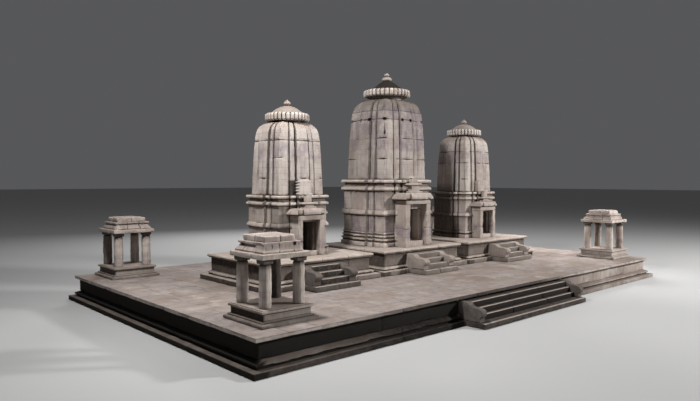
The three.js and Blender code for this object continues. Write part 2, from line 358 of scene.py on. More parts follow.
@dataclass(frozen=True)
class Joints:
    """Upright joints cut into the sides of a course.

    Attributes:
        every: Usual distance from one joint to the next.
        noise: Noise that varies their places.
        depth: Depth of the joints.
    """

    every: float
    noise: StoneNoise
    depth: float = 0.02

    def cut(self, shares: Array, length: float) -> tuple[Array, Array]:
        """Adds the joints to the points of one side.

        Args:
            shares: Places of the points along the side, from 0 to 1.
            length: Length of the side.

        Returns:
            The places with those of the joints added, and how deep each point lies in a joint.
        """
        depth = np.zeros(len(shares))
        places = np.arange(1, max(1, round(length / self.every))) * self.every
        wander = self.noise.at(np.column_stack([places, places * 0 + length, places * 0]), 0.7)
        for place in places + (wander - 0.5) * self.every * 0.6:
            keep = np.abs(shares * length - place) > 0.03
            shares = np.concatenate([shares[keep], (place + NOTCH) / length])
            depth = np.concatenate([depth[keep], [0, self.depth, self.depth, 0]])
            order = np.argsort(shares)
            shares, depth = shares[order], depth[order]
        return shares, depth


def course(x: Span, y: Span, profile: Profile, spacing: float = 0.15, margin: float = 0.03,
           joints: Joints | None = None) -> Block:
    """Makes a rectangular course whose four sides follow one profile.

    Args:
        x: Where it starts and ends along X.
        y: Where it starts and ends along Y.
        profile: Inset and height pairs, from the lowest up.
        spacing: Usual distance between points.
        margin: Distance of the first point from an edge.
        joints: Upright joints of its sides, or None for a course of one stone.

    Returns:
        The course, closed by a grid of faces at the top and the bottom.
    """
    insets, heights = refine(np.array(profile, float), spacing, margin).T
    sides = []
    for low, high in (x, y):
        shares = spread(high - low, spacing, margin)
        sides.append(joints.cut(shares, high - low) if joints else (shares, np.zeros(len(shares))))
    (along_x, deep_x), (along_y, deep_y) = sides
    nx, ny = len(along_x) - 1, len(along_y) - 1
    count = 2 * (nx + ny)
    rings = np.zeros((len(heights), count, 2))
    for level, inset in enumerate(insets):
        x0, x1, y0, y1 = x[0] + inset, x[1] - inset, y[0] + inset, y[1] - inset
        xs, ys = x0 + along_x * (x1 - x0), y0 + along_y * (y1 - y0)
        front = np.column_stack([xs[:-1], y0 + deep_x[:-1]])
        right = np.column_stack([x1 - deep_y[:-1], ys[:-1]])
        rear = np.column_stack([xs[:0:-1], y1 - deep_x[:0:-1]])
        left = np.column_stack([x0 + deep_y[:0:-1], ys[:0:-1]])
        rings[level] = np.concatenate([front, right, rear, left])
    notched = np.concatenate([deep_x[:-1], deep_y[:-1], deep_x[:0:-1], deep_y[:0:-1]]) > 0
    # Levels under what juts out get painted shade and soiling, and the joints are darker.
    dirt = np.maximum(np.repeat(shelter(insets, heights), count), np.tile(notched, len(heights)))
    points = [np.column_stack([rings.reshape(-1, 2), np.repeat(heights, count)])]
    quads = [side_quads(len(heights), count)]
    border = np.zeros((nx + 1, ny + 1), int)
    border[:nx, 0] = np.arange(nx)
    border[nx, :ny] = nx + np.arange(ny)
    border[1:, ny] = (nx + ny + np.arange(nx))[::-1]
    border[0, 1:] = (2 * nx + ny + np.arange(ny))[::-1]
    start = len(points[0])
    for level, upward in ((0, False), (len(heights) - 1, True)):
        inset, height = insets[level], heights[level]
        grid = border + level * count
        xs = x[0] + inset + along_x[1:-1] * (x[1] - x[0] - 2 * inset)
        ys = y[0] + inset + along_y[1:-1] * (y[1] - y[0] - 2 * inset)
        if len(xs) and len(ys):
            mesh_x, mesh_y = np.meshgrid(xs, ys, indexing="ij")
            inner = np.column_stack([mesh_x.ravel(), mesh_y.ravel(), np.full(mesh_x.size, height)])
            grid[1:-1, 1:-1] = (start + np.arange(len(inner))).reshape(mesh_x.shape)
            points.append(inner)
            start += len(inner)
        a, b, c, d = grid[:-1, :-1], grid[1:, :-1], grid[1:, 1:], grid[:-1, 1:]
        quads.append(np.stack([a, b, c, d] if upward else [a, d, c, b], axis=-1).reshape(-1, 4))
    inner_dirt_and_shade = np.zeros(start - len(dirt))
    return Block(np.concatenate(points), np.concatenate(quads), [], np.concatenate([dirt, inner_dirt_and_shade]))


def block(x: Span, y: Span, z: Span, spacing: float = 0.15, margin: float = 0.03) -> Block:
    """Makes one square stone."""
    return course(x, y, [(0, z[0]), (0, z[1])], spacing, margin)


def even_outline(sides: int) -> Array:
    """Corners of an even outline around the Z axis, at a radius of one."""
    angles = 2 * np.pi * (np.arange(sides) + 0.5) / sides
    return np.column_stack([np.cos(angles), np.sin(angles)])


def raised(shape: Array, outline: Array) -> Block:
    """Stacks an outline about the Z axis, at the radius and height of each row of a shape.

    Args:
        shape: Radius and height of each level, one row each.
        outline: Points of the outline, at a radius of one.

    Returns:
        The body.
    """
    radii, heights = shape.T
    # Levels under what juts out get painted shade and soiling.
    dirt = np.repeat(shelter(-radii, heights)[:, None], len(outline), axis=1)
    return stacked(radii[:, None, None] * outline[None], heights, dirt)


def turned(radii: Profile, sides: int, spacing: float = 0.05) -> Block:
    """Makes a round body about the Z axis from radius and height pairs."""
    return raised(refine(np.array(radii, float), spacing, spacing / 3), even_outline(sides))


def drawn_in(outline: Array, depth: float) -> Array:
    """Moves each point of a counter-clockwise outline inwards by about one depth.

    Args:
        outline: Points of the outline, one row each.
        depth: How far they move.

    Returns:
        The smaller outline.
    """
    ahead = np.roll(outline, -1, axis=0) - outline
    ahead /= np.maximum(np.linalg.norm(ahead, axis=1), 1e-9)[:, None]
    turn = ahead + np.roll(ahead, 1, axis=0)
    turn /= np.maximum(np.linalg.norm(turn, axis=1), 1e-9)[:, None]
    return outline + depth * np.column_stack([-turn[:, 1], turn[:, 0]])


def bar(profile: Array, x: Span, spacing: float = 0.12, margin: float = 0.03) -> Block:
    """Runs one side profile of Y and Z points along X.

    Args:
        profile: Points of the side profile, one row each.
        x: Where it starts and ends along X.
        spacing: Usual distance between points.
        margin: Distance of the first point from an edge.

    Returns:
        The bar, closed at both ends.
    """
    outline = refine(np.array(profile, float), spacing, margin, closed=True)
    length = x[1] - x[0]
    places = x[0] + spread(length, spacing, margin) * length
    places = np.concatenate([places[:1], places, places[-1:]])
    sides = [outline] * len(places)
    sides[0] = sides[-1] = drawn_in(outline, margin)
    count = len(outline)
    rings = [np.column_stack([np.full(count, at), side]) for at, side in zip(places, sides)]
    last = (len(places) - 1) * count
    ends = [list(range(count))[::-1], list(range(last, last + count))]
    return Block(np.concatenate(rings), side_quads(len(places), count), ends, np.zeros(last + count))


def rounded(line: Array, passes: int = 2) -> Array:
    """Cuts the corners of an open line so that it runs in curves.

    Args:
        line: Points of the line, one row each.
        passes: How often its corners are cut.

    Returns:
        The rounder line.
    """
    for _ in range(passes):
        near = 0.75 * line[:-1] + 0.25 * line[1:]
        far = 0.25 * line[:-1] + 0.75 * line[1:]
        middle = np.stack([near, far], axis=1).reshape(-1, line.shape[1])
        line = np.concatenate([line[:1], middle, line[-1:]])
    return line


def new_mesh(name: str, points: Array, quads: Array, polygons: list[list[int]]) -> bpy.types.Mesh:
    """Makes a mesh of four-sided faces and polygons.

    Args:
        name: Name of the mesh.
        points: Places of its vertices, one row each.
        quads: Faces with four corners.
        polygons: Other faces.

    Returns:
        The mesh.
    """
    mesh = bpy.data.meshes.new(name)
    sizes = np.concatenate([np.full(len(quads), 4), [len(p) for p in polygons]]).astype(int)
    loops = np.concatenate([quads.ravel()] + [np.array(p) for p in polygons]).astype(int)
    starts = np.concatenate([[0], np.cumsum(sizes)[:-1]]).astype(int)
    mesh.vertices.add(len(points))
    mesh.vertices.foreach_set("co", points.ravel())
    mesh.loops.add(len(loops))
    mesh.loops.foreach_set("vertex_index", loops)
    mesh.polygons.add(len(sizes))
    mesh.polygons.foreach_set("loop_start", starts)
    mesh.update(calc_edges=True)
    mesh.validate()
    return mesh


def in_scene(name: str, data: bpy.types.ID) -> bpy.types.Object:
    """Adds an object with the given mesh, camera or light to the scene.

    Args:
        name: Name of the object.
        data: Its mesh, camera or light.

    Returns:
        The object.
    """
    made = bpy.data.objects.new(name, data)
    bpy.context.scene.collection.objects.link(made)
    return made


def read_values(items: bpy.types.bpy_prop_collection, name: str, width: int, kind: type = float) -> Array:
    """Reads one property of every item into rows of a given width.

    Args:
        items: Vertices, edges or stored values of a mesh.
        name: Name of the property.
        width: Number of values of one item.
        kind: Type of the values.

    Returns:
        One row for each item.
    """
    values = np.zeros(len(items) * width, kind)
    items.foreach_get(name, values)
    return values.reshape(-1, width)


def read_stored(mesh: bpy.types.Mesh, name: str) -> Array:
    """Reads the number that is stored at each vertex under a name."""
    return read_values(mesh.attributes[name].data, "value", 1)[:, 0]


def store(mesh: bpy.types.Mesh, name: str, values: Array) -> None:
    """Stores one number at each vertex under a name that the materials read.

    Args:
        mesh: The mesh, which is changed.
        name: Name that the materials read.
        values: One number for each vertex.
    """
    if name in mesh.attributes:
        mesh.attributes.remove(mesh.attributes[name])
    mesh.attributes.new(name, "FLOAT", "POINT").data.foreach_set("value", values.astype(np.float32))


def weather(mesh: bpy.types.Mesh, wear: Wear, noise: StoneNoise) -> None:
    """Wears a mesh back along its edges and stores how exposed each vertex is.

    Args:
        mesh: The mesh, which is changed.
        wear: How far the stone has weathered.
        noise: Noise of this piece.
    """
    points = read_values(mesh.vertices, "co", 3)
    normals = read_values(mesh.vertex_normals, "vector", 3)
    first, second = read_values(mesh.edges, "vertices", 2, int).T
    run = points[second] - points[first]
    run /= np.maximum(np.linalg.norm(run, axis=1), 1e-9)[:, None]
    count = len(points)
    meeting = np.bincount(first, minlength=count) + np.bincount(second, minlength=count)
    meeting = np.maximum(meeting, 1)

    def gather(at_first: Array, at_second: Array) -> Array:
        """Averages over the edges that meet at each vertex."""
        return (np.bincount(first, at_first, count) + np.bincount(second, at_second, count)) / meeting

    bend = gather(-(normals[first] * run).sum(1), (normals[second] * run).sum(1)) / SQUARE_EDGE
    edge = np.clip(bend, 0, 1.3)
    share = wear.chip_share * 0.5
    chips = ramp(noise.rough(points, wear.patch), 0.72 - share, 0.8 - share) * read_stored(mesh, "chipping")
    fine = noise.at(points, wear.patch * 0.3)
    depth = edge * (wear.rounding * (0.4 + 1.2 * fine) + wear.chip * chips * (0.4 + fine))
    depth = np.maximum(depth, 0.9 * gather(depth[second], depth[first]))
    depth += wear.unevenness * noise.rough(points, 0.5)
    points -= normals * depth[:, None]
    mesh.vertices.foreach_set("co", points.ravel())
    dirt = read_stored(mesh, "dirt")
    clean = 1 - np.clip(2.5 * gather(dirt[second], dirt[first]), 0, 1)
    store(mesh, "edge", clean * np.clip(edge + gather(edge[second], edge[first]) * 0.4, 0, 1))
    # Creases store a value that the materials turn into painted shade and soiling.
    store(mesh, "hollow", np.clip(-bend, 0, 1))
    mesh.update()


@dataclass
class Masonry:
    """Gathers the stones of one piece and turns them into one finished object.

    Attributes:
        node: Node that the piece stands for.
        slot: Material slot of the record.
        wear: How far its stone has weathered.
        place: Where its group of pieces stands.
        seed: Seed that is added to the one drawn from its name.
        grime: Least soiling and painted shade on all its stones, from 0 to 1.
        stains: Level bands of stains.
        blocks: The stones so far.
    """

    node: str
    slot: Slot
    wear: Wear
    place: Place = Place()
    seed: int = 1
    grime: float = 0.0
    stains: list[StainBand] = field(default_factory=list)
    blocks: list[Block] = field(default_factory=list)

    def __post_init__(self) -> None:
        """Draws the noise of this piece from its name and seed."""
        self.noise = StoneNoise(sum(map(ord, self.node)) * 31 + self.seed)

    def add(self, piece: Block) -> None:
        """Adds one stone."""
        self.blocks.append(piece)

    def stone_shade(self, index: int) -> float:
        """Draws the shade of one stone, from 0 to 1, out of the last digits of a sine."""
        return math.sin(index * 12.9898 + self.seed) * 43758.5453 % 1

    def mesh(self, name: str) -> bpy.types.Mesh:
        """Joins the stones into one mesh at their place, with the values that the materials read.

        Args:
            name: Name of the mesh.

        Returns:
            The mesh.
        """
        points, quads, polygons = [], [], []
        stored = {"dirt": [], "shade": [], "chipping": [], "bloom": []}
        start = 0
        for index, piece in enumerate(self.blocks):
            count = len(piece.points)
            points.append(self.place.apply(piece.points))
            quads.append(piece.quads + start)
            polygons += [[start + i for i in polygon] for polygon in piece.polygons]
            stored["dirt"].append(np.maximum(piece.dirt, self.grime))
            stored["shade"].append(np.full(count, self.stone_shade(index)))
            stored["chipping"].append(np.full(count, piece.chipping))
            blooms = [band.at(piece.points, self.noise) for band in self.stains]
            stored["bloom"].append(sum(blooms, np.zeros(count)))
            start += count
        mesh = new_mesh(name, np.concatenate(points), np.concatenate(quads), polygons)
        for label, parts in stored.items():
            store(mesh, label, np.concatenate(parts))
        return mesh

    def finish(self, yard: "StoneYard", cutters: Iterable[Block] = ()) -> None:
        """Makes the finished piece, which rides on the temple's body and stands for the node.

        Args:
            yard: The stone materials.
            cutters: Shapes that are cut out of it.
        """
        name = f"{self.node}_stonework"
        made = in_scene(name, self.mesh(name))
        for shape in cutters:
            self.cut(made, shape)
        weather(made.data, self.wear, self.noise)
        made.data.shade_smooth()
        made.data.set_sharp_from_angle(angle=SHARP_ANGLE)
        made.data.materials.clear()
        made.data.materials.append(yard.of(self.slot))
        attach(made, BODY)
        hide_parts(self.node)
        made.data.calc_loop_triangles()
        log.info("%s: %d triangles", name, len(made.data.loop_triangles))

    def cut(self, target: bpy.types.Object, shape: Block) -> None:
        """Cuts a shape out of an object, and gives the walls of the cut the shape's darkness, which paints
        shade inside doorways and sockets.

        Args:
            target: The object, which is changed.
            shape: The shape, in the frame of the piece's group.
        """
        corners = self.place.apply(shape.points)
        tool = new_mesh("cutter", corners, shape.quads, shape.polygons)
        cutter = in_scene("cutter", tool)
        modifier = target.modifiers.new("cut", "BOOLEAN")
        modifier.operation = "DIFFERENCE"
        modifier.solver = "MANIFOLD"
        modifier.object = cutter
        replace_by_evaluated(target)
        bpy.data.objects.remove(cutter)
        bpy.data.meshes.remove(tool)
        points = read_values(target.data.vertices, "co", 3)
        near = between(points, corners.min(axis=0) - HAIR, corners.max(axis=0) + HAIR).all(axis=1)
        dirt = read_stored(target.data, "dirt")
        store(target.data, "dirt", np.where(near, np.maximum(dirt, shape.dirt.max()), dirt))


def replace_by_evaluated(target: bpy.types.Object) -> None:
    """Gives an object the mesh that its modifiers make, and removes the modifiers.

    Args:
        target: The object, which is changed.
    """
    graph = bpy.context.evaluated_depsgraph_get()
    made = bpy.data.meshes.new_from_object(target.evaluated_get(graph))
    target.modifiers.clear()
    target.data = made


class Repeater:
    """Sets out copies of one stone with a Geometry Nodes tree."""

    INPUTS = {
        "Stone": "NodeSocketGeometry", "Count": "NodeSocketInt", "Step": "NodeSocketFloat",
        "Material": "NodeSocketMaterial",
    }

    def __init__(self, layout: Layout) -> None:
        """Builds the tree of one layout, with named inputs for its sizes.

        Args:
            layout: Way of setting out the copies.
        """
        tree = bpy.data.node_groups.new(f"copies_in_a_{layout.value}", "GeometryNodeTree")
        self.tree = tree
        self.sockets = {
            name: tree.interface.new_socket(name, in_out="INPUT", socket_type=kind).identifier
            for name, kind in self.INPUTS.items()
        }
        tree.interface.new_socket("Stones", in_out="OUTPUT", socket_type="NodeSocketGeometry")
        source = tree.nodes.new("NodeGroupInput")
        copies = tree.nodes.new("GeometryNodeInstanceOnPoints")
        if layout is Layout.RING:
            tree.links.new(self.middle(source), copies.inputs["Points"])
            tree.links.new(self.turn(source), copies.inputs["Rotation"])
        else:
            tree.links.new(self.corners(source), copies.inputs["Points"])
        tree.links.new(source.outputs["Stone"], copies.inputs["Instance"])
        realized = tree.nodes.new("GeometryNodeRealizeInstances")
        dressed = tree.nodes.new("GeometryNodeSetMaterial")
        output = tree.nodes.new("NodeGroupOutput")
        tree.links.new(copies.outputs["Instances"], realized.inputs["Geometry"])
        tree.links.new(realized.outputs["Geometry"], dressed.inputs["Geometry"])
        tree.links.new(source.outputs["Material"], dressed.inputs["Material"])
        tree.links.new(dressed.outputs["Geometry"], output.inputs["Stones"])

    def corners(self, source: bpy.types.Node) -> bpy.types.NodeSocket:
        """Makes four points at the corners of a square, one step long.

        Args:
            source: Input node of the tree.

        Returns:
            Socket with the points.
        """
        grid = self.tree.nodes.new("GeometryNodeMeshGrid")
        for axis in "XY":
            grid.inputs[f"Vertices {axis}"].default_value = 2
            self.tree.links.new(source.outputs["Step"], grid.inputs[f"Size {axis}"])
        return grid.outputs["Mesh"]

    def middle(self, source: bpy.types.Node) -> bpy.types.NodeSocket:
        """Makes the ring's points, which all stand at the middle, because only the turn sets them apart.

        Args:
            source: Input node of the tree.

        Returns:
            Socket with the points.
        """
        line = self.tree.nodes.new("GeometryNodeMeshLine")
        line.inputs["Offset"].default_value = (0.0, 0.0, 0.0)
        self.tree.links.new(source.outputs["Count"], line.inputs["Count"])
        return line.outputs["Mesh"]

    def turn(self, source: bpy.types.Node) -> bpy.types.NodeSocket:
        """Makes the turn of each copy about the Z axis.

        Args:
            source: Input node of the tree.

        Returns:
            Socket with the turns.
        """
        nodes, links = self.tree.nodes, self.tree.links
        index = nodes.new("GeometryNodeInputIndex")
        angle = nodes.new("ShaderNodeMath")
        angle.operation = "MULTIPLY"
        turn = nodes.new("ShaderNodeCombineXYZ")
        links.new(index.outputs["Index"], angle.inputs[0])
        links.new(source.outputs["Step"], angle.inputs[1])
        links.new(angle.outputs["Value"], turn.inputs["Z"])
        return turn.outputs["Vector"]

    def copies(self, stone: Block, count: int, step: float, material: bpy.types.Material) -> Block:
        """Sets out copies of a stone.

        Args:
            stone: The stone in the frame of the layout.
            count: Number of copies in a ring. There are always four at the corners.
            step: Turn from one copy to the next in radians, or the distance between two corners.
            material: Material that the tree gives the copies.

        Returns:
            All the copies as one block.
        """
        mesh = new_mesh("stone", stone.points, stone.quads, stone.polygons)
        store(mesh, "dirt", stone.dirt)
        holder = in_scene("stone", mesh)
        modifier = holder.modifiers.new("copies", "NODES")
        modifier.node_group = self.tree
        for name, value in (("Count", count), ("Step", step), ("Material", material)):
            modifier[self.sockets[name]] = value
        replace_by_evaluated(holder)
        made = holder.data
        points, dirt = read_values(made.vertices, "co", 3), read_stored(made, "dirt")
        quads, polygons = [], []
        for face in made.polygons:
            corners = list(face.vertices)
            (quads if len(corners) == 4 else polygons).append(corners)
        bpy.data.objects.remove(holder)
        return Block(points, np.array(quads, int).reshape(-1, 4), polygons, dirt)


@dataclass(frozen=True)
class StoneFinish:
    """Colours and weathering of one kind of stone.

    Attributes:
        name: Name of the material.
        light: Colour of clean stone.
        dull: Colour of its darker beds.
        grime: Colour of rain streaks, soiling and painted shade.
        bloom: Colour of the purple-grey stains.
        worn: Colour of worn edges.
        streaks: Amount of rain streaks.
        stains: Amount of purple-grey stains.
        dirt: Amount of soiling and painted shade under what juts out and in creases.
        bed: Height of one course of stones.
        variety: How far one stone differs in colour from the next.
        bump: Strength of the surface relief.
    """

    name: str
    light: Triple = (0.55, 0.495, 0.457)
    dull: Triple = (0.33, 0.275, 0.24)
    grime: Triple = (0.050, 0.040, 0.034)
    bloom: Triple = (0.22, 0.175, 0.205)
    worn: Triple = (0.66, 0.59, 0.52)
    streaks: float = 0.45
    stains: float = 0.25
    dirt: float = 0.8
    bed: float = 0.4
    variety: float = 0.2
    bump: float = 0.6


FINISHES = {
    Slot.PLATFORM: StoneFinish(
        "platform_sandstone", light=(0.515, 0.462, 0.422), dull=(0.21, 0.168, 0.143),
        grime=(0.015, 0.013, 0.011), bloom=(0.35, 0.325, 0.335), worn=(0.45, 0.40, 0.36), streaks=0.2,
        stains=0.85, dirt=1.0, bed=0.5, variety=0.45),
    Slot.STEP: StoneFinish(
        "step_sandstone", light=(0.51, 0.455, 0.42), grime=(0.018, 0.015, 0.013), streaks=0.2, stains=0.1,
        dirt=1.0),
    Slot.PLINTH: StoneFinish(
        "plinth_sandstone", light=(0.54, 0.475, 0.425), streaks=0.4, stains=0.2, dirt=0.9),
    Slot.SHRINE: StoneFinish("shrine_sandstone", streaks=0.5, stains=0.85, dirt=0.9, bed=0.32),
    Slot.TOWER: StoneFinish(
        "tower_sandstone", light=(0.60, 0.55, 0.517), grime=(0.024, 0.019, 0.015), streaks=0.4, stains=0.85,
        dirt=1.0, bed=0.28),
    Slot.KIOSK: StoneFinish(
        "kiosk_sandstone", light=(0.68, 0.609, 0.558), streaks=0.5, stains=0.7, dirt=0.95, bump=0.3),
}


class ShaderTree:
    """Small helper that adds and joins nodes of one tree."""

    def __init__(self, tree: bpy.types.NodeTree) -> None:
        """Keeps the tree."""
        self.tree = tree

    def put(self, value: object, socket: bpy.types.NodeSocket) -> None:
        """Joins another socket to this one, or gives it a value.

        Args:
            value: The other socket, or the value.
            socket: Input of a node.
        """
        if isinstance(value, bpy.types.NodeSocket):
            self.tree.links.new(value, socket)
        else:
            socket.default_value = value

    def add(self, kind: str, settings: dict | None = None, **inputs: object) -> bpy.types.Node:
        """Adds a node.

        Args:
            kind: Blender's name of the node.
            settings: Properties of the node.
            **inputs: Values or sockets for its inputs, with _ for a space and a number as _0.

        Returns:
            The node.
        """
        node = self.tree.nodes.new(kind)
        for key, value in (settings or {}).items():
            setattr(node, key, value)
        for key, value in inputs.items():
            name = int(key[1:]) if key[0] == "_" else key.replace("_", " ")
            self.put(value, node.inputs[name])
        return node

    def math(self, operation: str, clamped: bool, first: object, second: object) -> bpy.types.NodeSocket:
        """Adds one calculation on two values and returns its result."""
        settings = {"operation": operation, "use_clamp": clamped}
        return self.add("ShaderNodeMath", settings, _0=first, _1=second).outputs[0]

    def times(self, first: object, second: object) -> bpy.types.NodeSocket:
        """Multiplies two values."""
        return self.math("MULTIPLY", False, first, second)

    def plus(self, first: object, second: object) -> bpy.types.NodeSocket:
        """Adds two values and keeps the sum between 0 and 1."""
        return self.math("ADD", True, first, second)

    def minus(self, first: object, second: object) -> bpy.types.NodeSocket:
        """Takes one value from another and keeps the rest between 0 and 1."""
        return self.math("SUBTRACT", True, first, second)

    def total(self, first: object, second: object) -> bpy.types.NodeSocket:
        """Adds two values that may leave the range from 0 to 1."""
        return self.math("ADD", False, first, second)

    def noise(self, vector: object, scale: float, detail: float = 4.0,
              rough: float = 0.6) -> bpy.types.NodeSocket:
        """Adds a noise texture and returns its value."""
        node = self.add("ShaderNodeTexNoise", Vector=vector, Scale=scale, Detail=detail, Roughness=rough)
        return node.outputs[0]

    def stretch(self, vector: object, scale: Triple) -> bpy.types.NodeSocket:
        """Scales a vector by a different amount along each axis."""
        return self.add("ShaderNodeMapping", Vector=vector, Scale=scale).outputs[0]

    def band(self, value: object, low: float, high: float) -> bpy.types.NodeSocket:
        """Maps a value to 0 at low and 1 at high, smoothly."""
        settings = {"interpolation_type": "SMOOTHSTEP"}
        return self.add("ShaderNodeMapRange", settings, Value=value, From_Min=low, From_Max=high).outputs[0]

    def mix(self, share: object, first: object, second: object) -> bpy.types.NodeSocket:
        """Mixes two colours by a share. A colour is a socket or three numbers."""
        first, second = ((*side, 1.0) if isinstance(side, tuple) else side for side in (first, second))
        return self.add("ShaderNodeMix", {"data_type": "RGBA"}, _0=share, _6=first, _7=second).outputs[2]


class WeatheringGroups:
    """Shader node groups that all the stone materials share."""

    def __init__(self) -> None:
        """Builds each group once."""
        self.grain = self.build_grain()
        self.stain = self.build_stain()
        self.edges = self.build_edges()

    @staticmethod
    def start(name: str, vectors: str, numbers: str) -> tuple[ShaderTree, dict[str, bpy.types.NodeSocket]]:
        """Starts a group with named inputs.

        Args:
            name: Name of the group.
            vectors: Names of its inputs that are vectors.
            numbers: Names of its inputs that are numbers.

        Returns:
            The tree helper, and the socket of each input by its name.
        """
        tree = bpy.data.node_groups.new(name, "ShaderNodeTree")
        for kind, names in (("Vector", vectors), ("Float", numbers)):
            for label in names.split():
                tree.interface.new_socket(label, in_out="INPUT", socket_type=f"NodeSocket{kind}")
        return ShaderTree(tree), dict(tree.nodes.new("NodeGroupInput").outputs.items())

    @staticmethod
    def end(kit: ShaderTree, **masks: bpy.types.NodeSocket) -> bpy.types.NodeTree:
        """Gives the group its named outputs, and returns its tree.

        Args:
            kit: Helper of the group's tree.
            **masks: Socket of each output by its name.

        Returns:
            The group's tree.
        """
        for label in masks:
            kit.tree.interface.new_socket(label, in_out="OUTPUT", socket_type="NodeSocketFloat")
        kit.add("NodeGroupOutput", **masks)
        return kit.tree

    def build_grain(self) -> bpy.types.NodeTree:
        """Grain of the stone: broad mottling, beds, fine upright tooling and pits.

        Returns:
            The group's tree.
        """
        kit, given = self.start("stone_grain", "Vector Normal", "Bed")
        vector = given["Vector"]
        broad = kit.noise(vector, 0.9, 5.0, 0.62)
        fine = kit.noise(vector, 9.0, 6.0, 0.65)
        tooling = kit.noise(kit.stretch(vector, (9.0, 9.0, 0.7)), 1.6, 4.0, 0.7)
        pits = kit.band(kit.noise(vector, 22.0, 2.0, 0.5), 0.62, 0.72)
        split = kit.add("ShaderNodeSeparateXYZ", Vector=vector).outputs
        wander = kit.times(kit.noise(kit.stretch(vector, (0.5, 0.5, 0.5)), 1.0, 2.0), 0.06)
        along, level = kit.total(split[0], split[1]), kit.total(split[2], wander)
        wall = kit.add("ShaderNodeCombineXYZ", X=along, Y=level)
        stones = kit.add("ShaderNodeTexBrick", {"offset": 0.43}, Vector=wall.outputs[0], Scale=1.0,
                         Color1=(0, 0, 0, 1), Color2=(1, 1, 1, 1), Mortar=(0.5, 0.5, 0.5, 1),
                         Mortar_Size=0.011, Mortar_Smooth=0.3, Brick_Width=1.15, Row_Height=given["Bed"])
        facing = kit.add("ShaderNodeSeparateXYZ", Vector=given["Normal"]).outputs
        upright = kit.minus(1.0, kit.band(facing[2], 0.3, 0.6))
        opened = kit.band(kit.noise(vector, 1.1, 2.0), 0.4, 0.62)
        bedding = kit.times(kit.times(stones.outputs["Fac"], opened), upright)
        tooling = kit.times(tooling, kit.plus(kit.times(upright, 0.7), 0.3))
        relief = kit.plus(kit.times(fine, 0.4), kit.times(tooling, 0.45))
        relief = kit.minus(relief, kit.times(pits, 0.25))
        relief = kit.minus(relief, kit.times(bedding, 0.35))
        mottle = kit.plus(kit.times(broad, 0.68), kit.times(tooling, 0.32))
        tone = kit.times(stones.outputs["Color"], upright)
        return self.end(kit, Mottle=mottle, Relief=relief, Bedding=bedding, Tone=tone)

    def build_stain(self) -> bpy.types.NodeTree:
        """Rain streaks, purple-grey stains, and soiling with painted shade under what juts out and in
        creases, as masks.

        Returns:
            The group's tree.
        """
        kit, given = self.start("rain_stain_and_shade", "Vector", "Dirt Hollow Bloom")
        vector = given["Vector"]
        long_streak = kit.noise(kit.stretch(vector, (3.2, 3.2, 0.28)), 1.0, 5.0, 0.62)
        patch = kit.noise(vector, 0.45, 3.0, 0.55)
        streak = kit.times(kit.band(long_streak, 0.50, 0.70), kit.band(patch, 0.38, 0.6))
        moved = kit.add("ShaderNodeVectorMath", {"operation": "ADD"}, _0=vector, _1=(31.0, 17.0, 5.0))
        blotch = kit.noise(kit.stretch(moved.outputs[0], (1.0, 1.0, 0.6)), 0.8, 5.0, 0.6)
        stain = kit.times(given["Bloom"], kit.band(kit.noise(vector, 3.0, 4.0, 0.65), 0.3, 0.6))
        stain = kit.plus(stain, kit.times(kit.band(blotch, 0.5, 0.66), 0.25))
        ragged = kit.total(kit.times(kit.noise(vector, 5.0, 4.0, 0.7), 0.5), 0.82)
        # Painted shade and soiling from the stored darkness and the creases, broken up by noise.
        grime = kit.times(kit.plus(given["Dirt"], kit.times(given["Hollow"], 0.62)), ragged)
        return self.end(kit, Streak=streak, Stain=stain, Grime=grime)

    def build_edges(self) -> bpy.types.NodeTree:
        """Bright worn edges, broken up by noise, as a mask.

        Returns:
            The group's tree.
        """
        kit, given = self.start("edge_wear", "Vector", "Edge")
        patchy = kit.band(kit.noise(given["Vector"], 2.6, 4.0, 0.65), 0.36, 0.62)
        return self.end(kit, Mask=kit.times(kit.band(given["Edge"], 0.15, 0.75), patchy))


